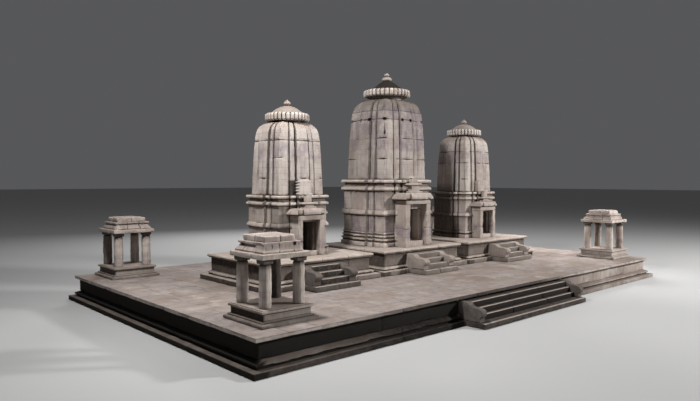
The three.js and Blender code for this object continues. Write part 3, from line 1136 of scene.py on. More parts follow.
class StoneYard:
    """Makes the stone materials."""

    def __init__(self) -> None:
        """Builds the shared groups and one material for each slot."""
        self.groups = WeatheringGroups()
        self.materials = {slot: self.make(finish) for slot, finish in FINISHES.items()}

    def make(self, finish: StoneFinish) -> bpy.types.Material:
        """Makes one stone material.

        Args:
            finish: Colours and weathering of the stone.

        Returns:
            The material.
        """
        material = bpy.data.materials.new(finish.name)
        material.use_nodes = True
        material.node_tree.nodes.clear()
        kit = ShaderTree(material.node_tree)
        vector = kit.add("ShaderNodeTexCoord").outputs["Object"]
        facing = kit.add("ShaderNodeNewGeometry").outputs["Normal"]
        stored = {
            name: kit.add("ShaderNodeAttribute", {"attribute_name": name}).outputs["Fac"]
            for name in ("edge", "hollow", "dirt", "shade", "bloom")
        }

        def group(tree: bpy.types.NodeTree, **inputs: object) -> bpy.types.bpy_prop_collection:
            """Places one shared group and returns its outputs."""
            return kit.add("ShaderNodeGroup", {"node_tree": tree}, Vector=vector, **inputs).outputs

        grain = group(self.groups.grain, Normal=facing, Bed=finish.bed)
        stain = group(self.groups.stain, Dirt=stored["dirt"], Hollow=stored["hollow"],
                      Bloom=stored["bloom"])
        edges = group(self.groups.edges, Edge=stored["edge"])
        mottle = kit.times(kit.band(grain["Mottle"], 0.36, 0.62), 0.75)
        shade = kit.times(kit.plus(stored["shade"], grain["Tone"]), finish.variety)
        colour = kit.mix(mottle, finish.dull, finish.light)
        colour = kit.mix(shade, colour, finish.dull)
        colour = kit.mix(kit.times(stain["Stain"], finish.stains), colour, finish.bloom)
        colour = kit.mix(kit.times(stain["Streak"], finish.streaks), colour, finish.grime)
        colour = kit.mix(kit.times(edges["Mask"], 0.8), colour, finish.worn)
        colour = kit.mix(kit.times(grain["Bedding"], 0.28), colour, finish.grime)
        # Painted shade and soiling from the stored darkness and the creases.
        colour = kit.mix(kit.times(stain["Grime"], finish.dirt), colour, finish.grime)
        rough = kit.plus(kit.times(grain["Mottle"], 0.15), 0.78)
        bump = kit.add("ShaderNodeBump", Strength=finish.bump, Distance=0.03, Height=grain["Relief"])
        shader = kit.add("ShaderNodeBsdfPrincipled", Base_Color=colour, Roughness=rough,
                         Normal=bump.outputs[0], Specular_IOR_Level=0.1)
        kit.add("ShaderNodeOutputMaterial", Surface=shader.outputs[0])
        return material

    def of(self, slot: Slot) -> bpy.types.Material:
        """The material of a slot."""
        return self.materials[slot]


@dataclass
class Flight:
    """Flight of steps between two scroll cheeks, rising towards +Y.

    Attributes:
        yard: The stone materials.
        name: First part of its nodes' names.
        place: Where it stands.
        centre: Middle of the flight along X.
        width: Width over both cheeks.
        cheek: Width of one cheek.
        riser: Height of one step.
        fronts: Y of each step's front, from the lowest.
        wall: Y of the wall that the flight ends against.
        setback: How far the cheeks' noses stand behind the first step's front.
        head: Height of the cheeks.
        reach: How far the first step reaches past each cheek.
        stone: Usual length of one stone of a step.
        grime: Soiling and painted shade on the cheeks, from 0 to 1.
        risers: Painted shade and soiling on the fronts of the steps and the backs of their treads, from 0
            to 1.
        wear: Weathering of the steps.
        cheek_wear: Weathering of the cheeks.
    """

    yard: StoneYard
    name: str
    place: Place
    centre: float
    width: float
    cheek: float
    riser: float
    fronts: tuple[float, ...]
    wall: float
    setback: float
    head: float = 1.0
    reach: float = 0.0
    stone: float = 2.9
    grime: float = 0.25
    risers: float = 1.0
    wear: Wear = Wear(0.01, 0.04, 0.4, 0.008, 0.4)
    cheek_wear: Wear = Wear(0.012, 0.03, 0.4, 0.006, 0.4)

    # Top and scrolled nose of a cheek, as shares of its length from the wall and of its height
    SCROLL = ((0.34, 1), (0.42, 0.93), (0.47, 0.83), (0.56, 0.77), (0.78, 0.76), (0.9, 0.71), (0.96, 0.6),
              (0.97, 0.45), (0.92, 0.33), (0.87, 0.25), (0.87, 0.12))

    def build(self) -> None:
        """Builds the steps and both cheeks under the names of their nodes."""
        self.steps()
        half = self.width / 2
        self.side("left", self.centre - half)
        self.side("right", self.centre + half - self.cheek)

    def seat(self, front: float, top: float, extra: float = 0.0) -> Block:
        """Makes the shape that is cut out of a piece to seat the flight.

        Args:
            front: Y where the cut starts, ahead of the piece.
            top: Height of the cut.
            extra: How far the cut is wider than the flight, on each side.

        Returns:
            The shape of the cut.
        """
        half = self.width / 2 + HAIR
        span = (self.centre - half - extra, self.centre + half + extra)
        return block(span, (front, self.wall), (-0.5, top), UNDIVIDED)

    def steps(self) -> None:
        """Lays each step as a row of worn stones, with painted shade and soiling on the risers and treads,
        and light front edges.
        """
        work = Masonry(f"{self.name}_steps", Slot.STEP, self.wear, self.place, seed=3)
        half, last = self.width / 2, len(self.fronts) - 1
        for index, front in enumerate(self.fronts):
            inset = self.cheek + HAIR if index else -self.reach
            left, right = self.centre - half + inset, self.centre + half - inset
            rear = self.wall - HAIR if index in (0, last) else self.fronts[index + 1] + 0.12
            bottom, top = max(0.0, index * self.riser - 0.02), (index + 1) * self.riser
            parts = max(1, round((right - left) / self.stone))
            cuts = left + (right - left) * np.arange(parts + 1) / parts
            wander = work.noise.at(np.column_stack([cuts, cuts * 0 + index, cuts * 0]), 0.9) - 0.5
            cuts[1:-1] += wander[1:-1] * self.stone * 0.5
            riser = self.risers if index else 0.85 * self.risers
            for x0, x1 in zip(cuts[:-1], cuts[1:]):
                stone = block((x0 + HAIR, x1 - HAIR), (front, rear), (bottom, top), 0.11)
                # Painted shade on the risers and the backs of the treads, lighter along the front edges.
                upper = stone.points[:, 2] > top - HAIR
                edge = upper & (stone.points[:, 1] < front + 0.04)
                work.add(stone.darkened(np.where(edge, 0.05, np.where(upper, 0.85 * self.risers, riser))))
        work.finish(self.yard)

    def side(self, hand: str, x: float) -> None:
        """Carves one cheek with its scrolled nose, with painted shade under the scroll.

        Args:
            hand: Side of the flight that it stands on, left or right.
            x: Where it starts along X.
        """
        node = f"{self.name}_{hand}_cheek"
        work = Masonry(node, Slot.STEP, self.cheek_wear, self.place, seed=5, grime=self.grime)
        back, nose = self.wall - HAIR, self.fronts[0] + self.setback
        outline = np.concatenate([[(0, 0), (0, 1)], rounded(np.array(self.SCROLL)), [(0.88, 0)]])
        outline = outline * [nose - back, self.head - self.riser] + [back, self.riser]
        cheek = bar(outline, (x, x + self.cheek), 0.09)
        _, y, z = cheek.points.T
        # Painted shade under the scrolled nose.
        under = (y < back + 0.93 * (nose - back)) & (y < nose + 0.25) & (z < self.riser + 0.25)
        work.add(cheek.darkened(np.where(under, 1.0, 0.0)))
        work.finish(self.yard)


@dataclass
class Platform:
    """Platform of base course, recessed dado and paved deck, with the great stair.

    Attributes:
        yard: The stone materials.
        x: Where it starts and ends along X.
        y: Where it starts and ends along Y.
        dado: How far the dado stands back from the base course.
        underside: Height of the deck's underside.
        top: Height of the deck.
        paving: Thickness of the paving.
        edge: How far the paving stands back from the base course.
        rows: Number of rows of slabs.
        slab: Shortest and longest slab.
        shortest: Length under which a last slab joins the one before it.
        wear: Weathering of the base course and the dado.
        deck_wear: Weathering of the deck.
    """

    yard: StoneYard
    x: Span = (-15.0, 15.0)
    y: Span = (-8.52, 8.52)
    dado: float = 0.43
    underside: float = 1.065
    top: float = 1.225
    paving: float = 0.03
    edge: float = 0.236
    rows: int = 17
    slab: Span = (1.0, 2.1)
    shortest: float = 0.6
    wear: Wear = Wear(0.01, 0.035, 0.35, 0.008, 0.6)
    deck_wear: Wear = Wear(0.008, 0.03, 0.35, 0.006, 0.7)

    # Inset and height pairs of the base course
    FOOT = ((0, 0), (0, 0.222), (0.3, 0.222), (0.3, 0.3), (0.225, 0.3), (0.225, 0.375), (0.43, 0.47))

    def build(self) -> None:
        """Builds the platform's courses, its paving and the great stair."""
        stair = Flight(self.yard, "great_stair", Place(), centre=-0.2, width=8.62, cheek=0.35, riser=0.245,
                       fronts=(-9.5, -9.03, -8.81, -8.59), wall=self.y[0] + self.dado, setback=0.09,
                       grime=0.7)
        seat = stair.seat(-10.2, self.underside - SEAT_GAP)
        self.base_course(seat)
        self.recessed_dado(seat)
        self.deck()
        stair.build()

    def base_course(self, seat: Block) -> None:
        """Lays the base course with painted shade that is blackest at the left end, faded by a painted pool
        of light towards the right.

        Args:
            seat: Shape that is cut out for the great stair.
        """
        work = Masonry("platform_base_course", Slot.PLATFORM, self.wear)
        foot = course(self.x, self.y, self.FOOT, 0.2, 0.04, Joints(6.1, work.noise))
        x, _, z = foot.points.T
        end, ledge = x < self.x[0] + 0.5, between(z, 0.221, 0.25)
        # Painted shade: black on the left end, lighter on the top and the ledge, faded by a painted pool of
        # light towards the right end.
        shaded, outside_light_pool = ramp(x, -13.0, -7.0), 1 - 0.85 * ramp(x, 3.5, 8.0)
        face = np.where(z > 0.25, 0.35 + 0.55 * shaded, 0.78 + 0.17 * shaded)
        face = np.where(ledge, 0.55 + 0.35 * shaded, np.where(end, 1.0, face))
        foot.dirt *= outside_light_pool
        work.add(foot.darkened(face * outside_light_pool))
        work.finish(self.yard, [seat])

    def recessed_dado(self, seat: Block) -> None:
        """Lays the dado with the cove above it, black with painted shade and soiling but for a painted pool
        of light at its right end.

        Args:
            seat: Shape that is cut out for the great stair.
        """
        work = Masonry("platform_dado", Slot.PLATFORM, self.wear)
        profile = [(self.dado, 0.47), (self.dado, 0.995), (0.36, self.underside)]
        wall = course(self.x, self.y, profile, 0.2, 0.04, Joints(5.7, work.noise))
        # Painted shade and soiling, faded by a painted pool of light at the right end.
        wall.dirt = 1 - ramp(wall.points[:, 0], 3.0, 6.5)
        work.add(wall)
        work.finish(self.yard, [seat])

    def deck(self) -> None:
        """Lays the deck's edge stones and the paving on them."""
        stains = [StainBand(1.0, 1.4, 0.35, 1.8)]
        work = Masonry("platform_deck", Slot.PLATFORM, self.deck_wear, stains=stains)
        profile = [(0.259, self.underside), (0.234, 1.095), (0.234, self.top - self.paving)]
        rim = course(self.x, self.y, profile, 0.25, 0.04, Joints(6.3, work.noise))
        # Painted pool of light at the right end, and painted shade along the front edge by the great stair.
        rim.dirt *= 1 - 0.8 * ramp(rim.points[:, 0], 3.0, 6.5)
        work.add(rim.darkened(self.front_painted_shade(rim.points)))
        self.pave(work)
        work.finish(self.yard)

    def pave(self, work: Masonry) -> None:
        """Lays the deck with rows of slabs of uneven length, with soiling along their joints and painted
        shade on their sides at the front edge.

        Args:
            work: The piece that gathers the slabs.
        """
        left, right = self.x[0] + self.edge, self.x[1] - self.edge
        front, rear = self.y[0] + self.edge, self.y[1] - self.edge
        rng = np.random.default_rng(seed=12)
        depth, gap, lip = (rear - front) / self.rows, 2 * HAIR, 0.03
        for row in range(self.rows):
            y = (front + row * depth + gap, front + (row + 1) * depth - gap)
            at = left
            while at < right - 0.01:
                length = min(rng.uniform(*self.slab), right - at)
                if right - at - length < self.shortest:
                    length = right - at
                top = self.top - rng.uniform(0, 0.004)
                profile = [(0, self.top - self.paving - 0.01), (0, top - 0.004), (0.004, top)]
                stone = course((at + gap, at + length - gap), y, profile, 0.3, 0.05)
                stone.chipping = 0.15
                inner = np.abs(stone.points[:, 0] - at - length / 2) < length / 2 - lip
                inner &= np.abs(stone.points[:, 1] - sum(y) / 2) < depth / 2 - lip
                # The slabs' sides along the front edge get the same painted shade.
                side = np.where(stone.points[:, 2] < top - gap, self.front_painted_shade(stone.points), 0)
                work.add(stone.darkened(np.maximum(np.where(inner, 0.0, 0.16), side)))
                at += length

    def front_painted_shade(self, points: Array) -> Array:
        """Rates the painted shade on the deck's front edge, which is darkest beside and above the great
        stair.
        """
        along = ramp(points[:, 0], -12.0, -6.0) - ramp(points[:, 0], 1.0, 6.0)
        return np.where(points[:, 1] < self.y[0] + 0.28, 0.7 * along, 0)


@dataclass
class Plinth:
    """Moulded plinth under one shrine, with its slab and flight.

    Attributes:
        yard: The stone materials.
        name: First part of its nodes' names.
        place: Where it stands.
        stair: Middle of its flight along X, from its own middle.
        grime: Soiling and painted shade on its flight, from 0 to 1.
        x: Where it starts and ends along X.
        y: Where it starts and ends along Y.
        dado: How far its walls stand back from their foot.
        underside: Height of the slab's underside.
        wear: Weathering of its walls.
        slab_wear: Weathering of its slab.
    """

    yard: StoneYard
    name: str
    place: Place
    stair: float
    grime: float
    x: Span = (-3.45, 3.45)
    y: Span = (-2.57, 3.23)
    dado: float = 0.41
    underside: float = 1.065
    wear: Wear = Wear(0.01, 0.035, 0.4, 0.008, 0.4)
    slab_wear: Wear = Wear(0.006, 0.03, 0.3, 0.006, 0.5)

    # Y of the steps' fronts, then inset and height pairs of the walls' foot and of the slab
    STEPS = (-3.67, -3.38, -3.06, -2.75)
    FOOT = ((0, 0), (0, 0.24), (0.32, 0.24), (0.32, 0.29), (0.25, 0.29), (0.25, 0.37))
    SLAB = ((0.33, 1.065), (0.31, 1.07), (0.31, 1.12), (0.265, 1.125), (0.26, 1.19), (0.3, 1.238),
            (0.34, 1.25))

    def build(self) -> None:
        """Builds the plinth's mouldings, its slab and its stair."""
        flight = Flight(self.yard, f"{self.name}_stair", self.place, centre=self.stair, width=2.5,
                        cheek=0.4, riser=0.25, fronts=self.STEPS, wall=self.y[0] + self.dado,
                        setback=0.06, reach=0.09, stone=1.3, grime=self.grime,
                        risers=0.45 + 0.6 * self.grime)
        seats = [flight.seat(-4.5, self.underside - SEAT_GAP),
                 flight.seat(-4.5, flight.riser + CLEARANCE, flight.reach)]
        work = Masonry(f"{self.name}_plinth", Slot.PLINTH, self.wear, self.place)
        profile = [*self.FOOT, (self.dado, 0.44), (self.dado, self.underside)]
        walls = course(self.x, self.y, profile, 0.14, 0.03, Joints(1.7, work.noise))
        x, _, z = walls.points.T
        # Painted shade and soiling on the walls: darkest on the left face and under the slab, lightest on
        # the moulding.
        face = np.where(x < self.x[0] + 0.45, 0.95, 0.64)
        work.add(walls.darkened(np.where(between(z, 0.23, 0.42), 0.15, face) + 0.35 * ramp(z, 0.75, 1.05)))
        work.finish(self.yard, seats)
        slab = Masonry(f"{self.name}_plinth_slab", Slot.PLINTH, self.slab_wear, self.place)
        slab.add(course(self.x, self.y, self.SLAB, 0.14, 0.02, Joints(1.6, slab.noise)))
        slab.finish(self.yard)
        flight.build()


class SteppedPlan:
    """Stepped plan of a shrine: wide corner piers, grooves, bands and a proud middle on each face."""

    ACROSS = 1.06
    DEEP = 0.93
    # Half side of a pier at which the spacing of the points holds
    USUAL_PIER = 1.75
    # Places of the levels of an open level joint, from its middle
    OPENING = np.array([-0.012, -0.006, 0.006, 0.012])
    # Half of one face from its corner to its middle, as places along and out, at a pier half side of one
    HALF_FACE = ((1, 1), (0.565, 1), (0.558, 0.97), (0.545, 0.97), (0.545, 1.0675), (0.335, 1.0675),
                 (0.332, 1.02), (0.29, 1.02), (0.29, 1.135))

    def __init__(self, spacing: float) -> None:
        """Lays out one turn of the plan at a pier half side of one.

        Args:
            spacing: Usual distance between points, at a usual pier.
        """
        face = [(-a, -o) for a, o in self.HALF_FACE] + [(a, -o) for a, o in self.HALF_FACE[:0:-1]]
        turns = ((1, 0), (0, 1), (-1, 0), (0, -1))
        corners = np.array([(c * a - s * o, s * a + c * o) for c, s in turns for a, o in face])
        line = refine(corners, spacing / self.USUAL_PIER, 0.035 / self.USUAL_PIER, closed=True)
        self.points = line * np.array([self.ACROSS, self.DEEP])
        depth, along = np.abs(line).max(axis=1), np.abs(line).min(axis=1)
        # Painted shade and soiling in the grooves, the recesses and on the flanks of the proud middles,
        # fading out beside the grooves.
        groove = (np.abs(along - 0.555) < 0.012) & (depth < 1.0)
        recess = between(along, 0.285, 0.336) & (depth < 1.04)
        flank = (np.abs(along - 0.29) < 0.004) & (depth < 1.125)
        beside = np.where((along > 0.56) & (depth < 1.01), 0.8 * (1 - ramp(along, 0.565, 0.66)), 0.0)
        self.dirt = np.where(groove | recess | flank, 1.0, beside)
        self.corner = ramp(along, 0.8, 0.98)

    def body(self, profile: Profile, spacing: float, seams: float, joints: Profile = (),
             noise: StoneNoise | None = None) -> Block:
        """Stacks the plan along a profile.

        Args:
            profile: Pier and height pairs, from the lowest up.
            spacing: Usual distance between levels.
            seams: Painted shade and soiling in the grooves and recesses, from 0 to 1.
            joints: Heights of level joints, each with the share of its length that has opened.
            noise: Noise that says where the joints have opened.

        Returns:
            The body, with painted shade and soiling in its grooves and recesses, and darker level joints.
        """
        piers, heights = refine(np.array(profile, float), spacing, 0.03).T
        gaping = np.full(len(heights), -1)
        for index, (height, _) in enumerate(joints):
            keep = np.abs(heights - height) > 0.02
            added = height + self.OPENING
            piers = np.concatenate([piers[keep], np.interp(added, heights, piers)])
            heights = np.concatenate([heights[keep], added])
            gaping = np.concatenate([gaping[keep], [-1, index, index, -1]])
            order = np.argsort(heights)
            heights, piers, gaping = heights[order], piers[order], gaping[order]
        rings = piers[:, None, None] * self.points[None]
        # Levels under what juts out get painted shade and soiling.
        dirt = np.maximum(0.8 * shelter(-piers, heights)[:, None], self.dirt[None, :] * seams)
        for index, (height, share) in enumerate(joints):
            at = np.column_stack([self.points * 1.5, np.full(len(self.points), height)])
            opened = ramp(noise.rough(at, 0.8), 0.72 - share * 0.5, 0.8 - share * 0.5)
            rows = gaping == index
            rings[rows] *= (1 - opened * (0.008 + 0.022 * self.corner))[None, :, None]
            dirt[rows] = np.maximum(dirt[rows], opened[None, :] * 0.5)
        return stacked(rings, heights, dirt)


@dataclass(frozen=True)
class PorchHeights:
    """Heights of a porch above its plinth.

    Attributes:
        opening: Top of the opening.
        eave: Underside of the eaves.
        lintel: Top of the lintel.
        tier: Underside of the moulded tier on the lintel.
        crest: Top of the block on that tier.
    """

    opening: float
    eave: float
    lintel: float
    tier: float
    crest: float


@dataclass
class Shrine:
    """One shrine above its plinth: cella, porch, door frame, curved tower and crown.

    Attributes:
        yard: The stone materials.
        position: Which shrine of the row it is. The middle one is the larger and finer.
        place: Where it stands.
        joints: Heights of the tower's level joints, each with the share of its length that has opened.
        cella_front: Y of the wall behind the porch.
        front: Y of the porch's front.
        half: Half the width of the porch.
        pier: Width of one pier of the porch.
        jamb: Y of the front of the door's jambs.
        sill: Height of the door's sill.
        tiers_back: Y of the rear of the tiers over the porch.
        ribs: Number of ribs of the crown's disc.
        wear: Weathering of the cella and the tower.
        small: Weathering of the porch's stones.
    """

    yard: StoneYard
    position: Position
    place: Place
    joints: Profile
    cella_front: float = -1.6275
    front: float = -2.47
    half: float = 1.015
    pier: float = 0.35
    jamb: float = -2.08
    sill: float = 0.3
    tiers_back: float = -1.977
    ribs: int = 32
    wear: Wear = Wear(0.016, 0.045, 0.42, 0.008, 0.4)
    small: Wear = Wear(0.008, 0.035, 0.35, 0.006, 0.3)

    # Pier and height pairs of the foot of the cella, of its walls and of the tower
    FINE_FOOT = ((1.88, 0), (1.88, 0.21), (1.79, 0.25), (1.79, 0.31), (1.86, 0.33), (1.86, 0.43),
                 (1.77, 0.45), (1.77, 0.51), (1.83, 0.53), (1.83, 0.62), (1.76, 0.64), (1.76, 0.69),
                 (1.8, 0.7), (1.8, 0.77), (1.75, 0.8))
    PLAIN_FOOT = ((1.84, 0), (1.84, 0.26), (1.77, 0.3), (1.77, 0.38), (1.86, 0.4), (1.86, 0.5),
                  (1.75, 0.56))
    WALLS = ((1.75, 1.69), (1.86, 1.74), (1.86, 1.84), (1.8, 2.0), (1.75, 2.01), (1.75, 3.03),
             (1.87, 3.08), (1.87, 3.2), (1.71, 3.32), (1.71, 3.46), (1.87, 3.49), (1.87, 3.62),
             (1.83, 3.67))
    FINE_TOWER = ((1.576, 3.67), (1.6, 3.72), (1.576, 4.5), (1.561, 5.0), (1.537, 5.8), (1.487, 6.74),
                  (1.451, 7.2), (1.421, 7.44), (1.4, 7.455), (1.39, 7.53), (1.32, 7.78), (1.22, 7.95),
                  (1.055, 8.09), (0.85, 8.17))
    PLAIN_TOWER = ((1.576, 3.67), (1.6, 3.72), (1.576, 4.5), (1.561, 5.0), (1.537, 5.8), (1.487, 6.74),
                   (1.451, 7.2), (1.41, 7.53), (1.34, 7.78), (1.24, 7.95), (1.075, 8.09), (0.87, 8.17))
    # Radius and height pairs of the dome and the bulbs on the disc
    FINE_FINIAL = ((1.02, 8.755), (0.9, 8.84), (0.71, 8.97), (0.55, 9.1), (0.4, 9.2), (0.3, 9.27),
                   (0.2, 9.29), (0.28, 9.34), (0.3, 9.41), (0.24, 9.49), (0.11, 9.54), (0.1, 9.58),
                   (0.16, 9.62), (0.13, 9.69), (0.04, 9.76))
    PLAIN_FINIAL = ((1.05, 8.745), (0.93, 8.87), (0.68, 9.05), (0.45, 9.16), (0.26, 9.22), (0.13, 9.24),
                    (0.13, 9.27), (0.2, 9.33), (0.235, 9.4), (0.2, 9.48), (0.11, 9.55), (0.05, 9.61),
                    (0.02, 9.65))
    FINE_PORCH = PorchHeights(2.32, 2.59, 2.93, 3.3, 3.84)
    PLAIN_PORCH = PorchHeights(2.19, 2.53, 2.89, 3.08, 3.78)
    TOWER_GRIME = {Position.LEFT: 0.03, Position.MIDDLE: 0.2, Position.RIGHT: 0.12}

    def build(self, ring: Repeater) -> None:
        """Builds the five pieces of the shrine.

        Args:
            ring: Sets out the ribs of the crown.
        """
        self.cella()
        self.porch()
        self.door()
        self.tower()
        self.crown(ring)

    def work(self, part: str, slot: Slot, wear: Wear, **settings: object) -> Masonry:
        """Starts one piece of the shrine."""
        return Masonry(f"{self.position.value}_{part}", slot, wear, self.place, **settings)

    @property
    def fine(self) -> bool:
        """Whether this is the larger and finer shrine."""
        return self.position is Position.MIDDLE

    @property
    def heights(self) -> PorchHeights:
        """Heights of this shrine's porch."""
        return self.FINE_PORCH if self.fine else self.PLAIN_PORCH

    def cella(self) -> None:
        """Raises the hollow cella with its mouldings, band and double cornice."""
        stains, foot, seams = [StainBand(0.6, 1.7, 0.3)], self.PLAIN_FOOT, 0.65
        if self.fine:
            stains, foot, seams = [StainBand(0.7, 1.7, 1.0), StainBand(1.9, 3.0, 0.3)], self.FINE_FOOT, 0.2
        work = self.work("cella_walls", Slot.SHRINE, self.wear, stains=stains)
        body = SteppedPlan(0.12).body([*foot, *self.WALLS], 0.11, seams)
        x, y, z = body.points.T
        # Painted shadows: the middle shrine's on the right shrine's left side, and the porch's on the left
        # shrine's front.
        if self.position is Position.RIGHT:
            behind = ramp(y - np.where(z > 1.75, -0.35, -0.95), -0.15, 0.15)
            body.darkened(np.where(x < -1.5, behind, 0.0) * (0.9 - 0.25 * ramp(z, 3.0, 3.6)))
        elif self.position is Position.LEFT:
            body.darkened(np.where((x < -0.95) & (y < -0.9) & between(z, 0.5, 3.0), 0.5, 0.0))
        work.add(body)
        reach, top = self.half + CLEARANCE, self.heights.lintel + CLEARANCE
        ahead, under = -2.6, -0.2
        # The room and the doorway give the walls of their cuts painted shade.
        room = block((-0.9, 0.9), (-0.9, 0.9), (under, 3.3), UNDIVIDED)
        doorway = block((-0.6, 0.6), (ahead, 0), (under, 2.13), UNDIVIDED)
        seat = block((-reach, reach), (ahead, self.cella_front), (under, top), UNDIVIDED)
        work.finish(self.yard, [room.darkened(1.0), doorway.darkened(1.0), seat])

    def porch(self) -> None:
        """Sets up the porch's piers, lintel, broken eaves and tiers."""
        stains = [StainBand(0.5, 1.15, 0.9, 0.5)]
        work = self.work("porch", Slot.SHRINE, self.small, grime=0.1, stains=stains)
        height, noise = self.heights, work.noise
        half, front, back = self.half, self.front, self.cella_front - CLEARANCE
        inner, gap, eave = half - self.pier, 2 * HAIR, height.eave
        cuts = [0, 0.42 * height.opening, height.opening]
        for x in ((-half, -inner), (inner, half)):
            for low, high in zip(cuts[:-1], cuts[1:]):
                work.add(block(x, (front, back), (low + gap, high - gap), 0.1))
        seam = eave - 0.05
        # Painted shadow in a band on the lintel just under the eaves.
        lower = block((-half, half), (front, back), (height.opening, seam - gap), 0.1)
        work.add(lower.darkened(np.where(lower.points[:, 2] > seam - 0.01, 0.8, 0.0)))
        upper = block((-half, half), (front, back), (seam, height.lintel), 0.1, 0.06)
        work.add(upper.darkened(np.where(upper.points[:, 2] < eave + 0.02, 1.0, 0.0)))
        work.add(self.front_eave(noise))
        left, right = self.side_eave(-1, eave, back), self.side_eave(1, eave, back)
        work.add(left.broken((-half - 0.27, front - 0.25, eave), (-1, -1, 0.2), noise))
        work.add(right.broken((half + 0.24, front, eave), (1, -0.6, -0.3), noise))
        rear, tier, crest = self.tiers_back, height.tier, height.crest
        work.add(block((-0.49, 0.49), (-2.33, rear), (height.lintel - 0.02, height.lintel + 0.11), 0.1))
        work.add(block((-0.34, 0.34), (-2.27, rear), (height.lintel, tier + 0.02), 0.1))
        moulding = [(0.11, tier), (0, tier + 0.085), (0.06, tier + 0.17)]
        moulded = course((-0.62, 0.62), (-2.36, rear), moulding, 0.1)
        work.add(moulded.broken((0.5, -2.3, tier + 0.1), (1, -0.8, 0.2), noise))
        work.add(block((-0.24, 0.24), (-2.2, rear), (tier + 0.15, crest), 0.1))
        work.add(block((-0.31, 0.31), (-2.23, rear), (crest - 0.09, crest), 0.1))
        work.finish(self.yard)

    def front_eave(self, noise: StoneNoise) -> Block:
        """Makes the eave between the porch's piers, broken at both ends.

        Args:
            noise: Noise that roughens its broken ends.

        Returns:
            The eave as one stone.
        """
        eave, front, inner = self.heights.eave, self.front, self.half - self.pier
        root, tip = front + 0.02, front - 0.09
        outline = [(tip, eave), (root, eave - 0.03), (root, eave + 0.31), (front - 0.03, eave + 0.31),
                   (tip, eave + 0.14)]
        made = bar(np.array(outline), (-inner, inner), 0.1)
        made.broken((inner - 0.02, front, eave + 0.3), (1, -0.2, 0.9), noise)
        made.broken((-inner + 0.03, front, eave), (-1, -0.3, -0.5), noise)
        # Painted shadow on the eave's broken left end.
        return made.darkened(np.where(made.points[:, 0] < -inner + 0.02, 0.95, 0.0))

    def side_eave(self, side: int, bottom: float, back: float) -> Block:
        """Makes the sloping eave of one side, mitred at the front corner on the left.

        Args:
            side: -1 on the left, 1 on the right.
            bottom: Height of its underside.
            back: Y of its rear.

        Returns:
            The eave as one stone.
        """
        root, levels = 0.02, []
        for reach in (0.29, 0.3, 0.04):
            outer, inner = self.half + reach, self.half - root
            tip, rooted = self.front - reach, self.front + root
            if side < 0:
                levels.append([(-outer, tip), (-inner, rooted), (-inner, back), (-outer, back)])
            else:
                levels.append([(inner, rooted), (outer, rooted), (outer, back), (inner, back)])
        levels, heights = np.array(levels), np.array([bottom, bottom + 0.07, bottom + 0.31])
        lengths = np.linalg.norm(np.roll(levels[1], -1, axis=0) - levels[1], axis=1)
        shares = [spread(float(length), 0.1, 0.03)[:-1, None] for length in lengths]
        rings, z = [], []
        for step, _ in refine(np.array([[0.0, 0.0], [1.0, 0.07], [2.0, 0.31]]), 0.25, 0.06):
            low = min(int(step), 1)
            part = step - low
            corners = (1 - part) * levels[low] + part * levels[low + 1]
            sides = zip(corners, np.roll(corners, -1, axis=0), shares)
            rings.append(np.concatenate([start + share * (end - start) for start, end, share in sides]))
            z.append((1 - part) * heights[low] + part * heights[low + 1])
        rings = np.array(rings)
        return stacked(rings, np.array(z), np.zeros(rings.shape[:2]))

    def door(self) -> None:
        """Sets the inner jambs, lintel and deep sill."""
        work = self.work("door_frame", Slot.SHRINE, Wear(0.01, 0.03, 0.3, 0.005, 0.3))
        outer, back = self.half - self.pier - CLEARANCE, self.cella_front - CLEARANCE
        inner, head, top = 0.4, 2.05, self.heights.opening - CLEARANCE
        for x in ((-outer, -inner), (inner, outer)):
            stone = block(x, (self.jamb, back), (self.sill, head), 0.1)
            # The side shrines' jambs get painted shade but for their inner front edge, which stays light.
            edge = (np.abs(stone.points[:, 0]) < inner + 0.005) & (stone.points[:, 1] < self.jamb + 0.01)
            work.add(stone.darkened(np.where(edge | self.fine, 0.0, 0.85)))
        # The lintel is a little darker.
        work.add(block((-outer, outer), (self.jamb, back), (head, top), 0.1).darkened(0.2))
        work.add(block((-outer, outer), (-2.31, back), (0, self.sill), 0.1))
        work.finish(self.yard)

    def tower(self) -> None:
        """Raises the curved tower, with sockets in the middle one and a panel on each of the others."""
        stains = [StainBand(5.3, 7.7, 0.75, 0.9) if self.fine else StainBand(5.9, 7.0, 0.6, 0.7)]
        grime = self.TOWER_GRIME[self.position]
        work = self.work("tower", Slot.TOWER, self.wear, grime=grime, stains=stains)
        profile, seams = (self.FINE_TOWER, 0.38) if self.fine else (self.PLAIN_TOWER, 0.7)
        body = SteppedPlan(0.1).body(profile, 0.1, seams, self.joints, work.noise)
        x, y, z = body.points.T
        work.add(body)
        if self.fine:
            # The middle tower is darker towards the top and on its left side.
            left = (x < -1.2) & (y > -1.0)
            body.darkened(np.maximum(0.2 + 0.35 * ramp(z, 7.1, 7.8), np.where(left, 0.35, 0.0)))
            work.finish(self.yard, self.sockets())
            return
        if self.position is Position.RIGHT:
            # Painted shadow of the middle shrine on the right tower's left side.
            left = np.where(x < -1.2, ramp(y, -0.5, -0.2), 0.0)
            body.darkened(left * (0.55 - 0.4 * ramp(z, 3.9, 4.6)))
        # Painted shadow beside the panel, strong on the left shrine.
        panel_shadow_area = between(x, -1.0, -0.45) & (y < -1.2) & between(z, 3.71, 4.6)
        body.darkened(np.where(panel_shadow_area, 0.85 if self.position is Position.LEFT else 0.25, 0.0))
        work.add(self.panel())
        work.finish(self.yard)

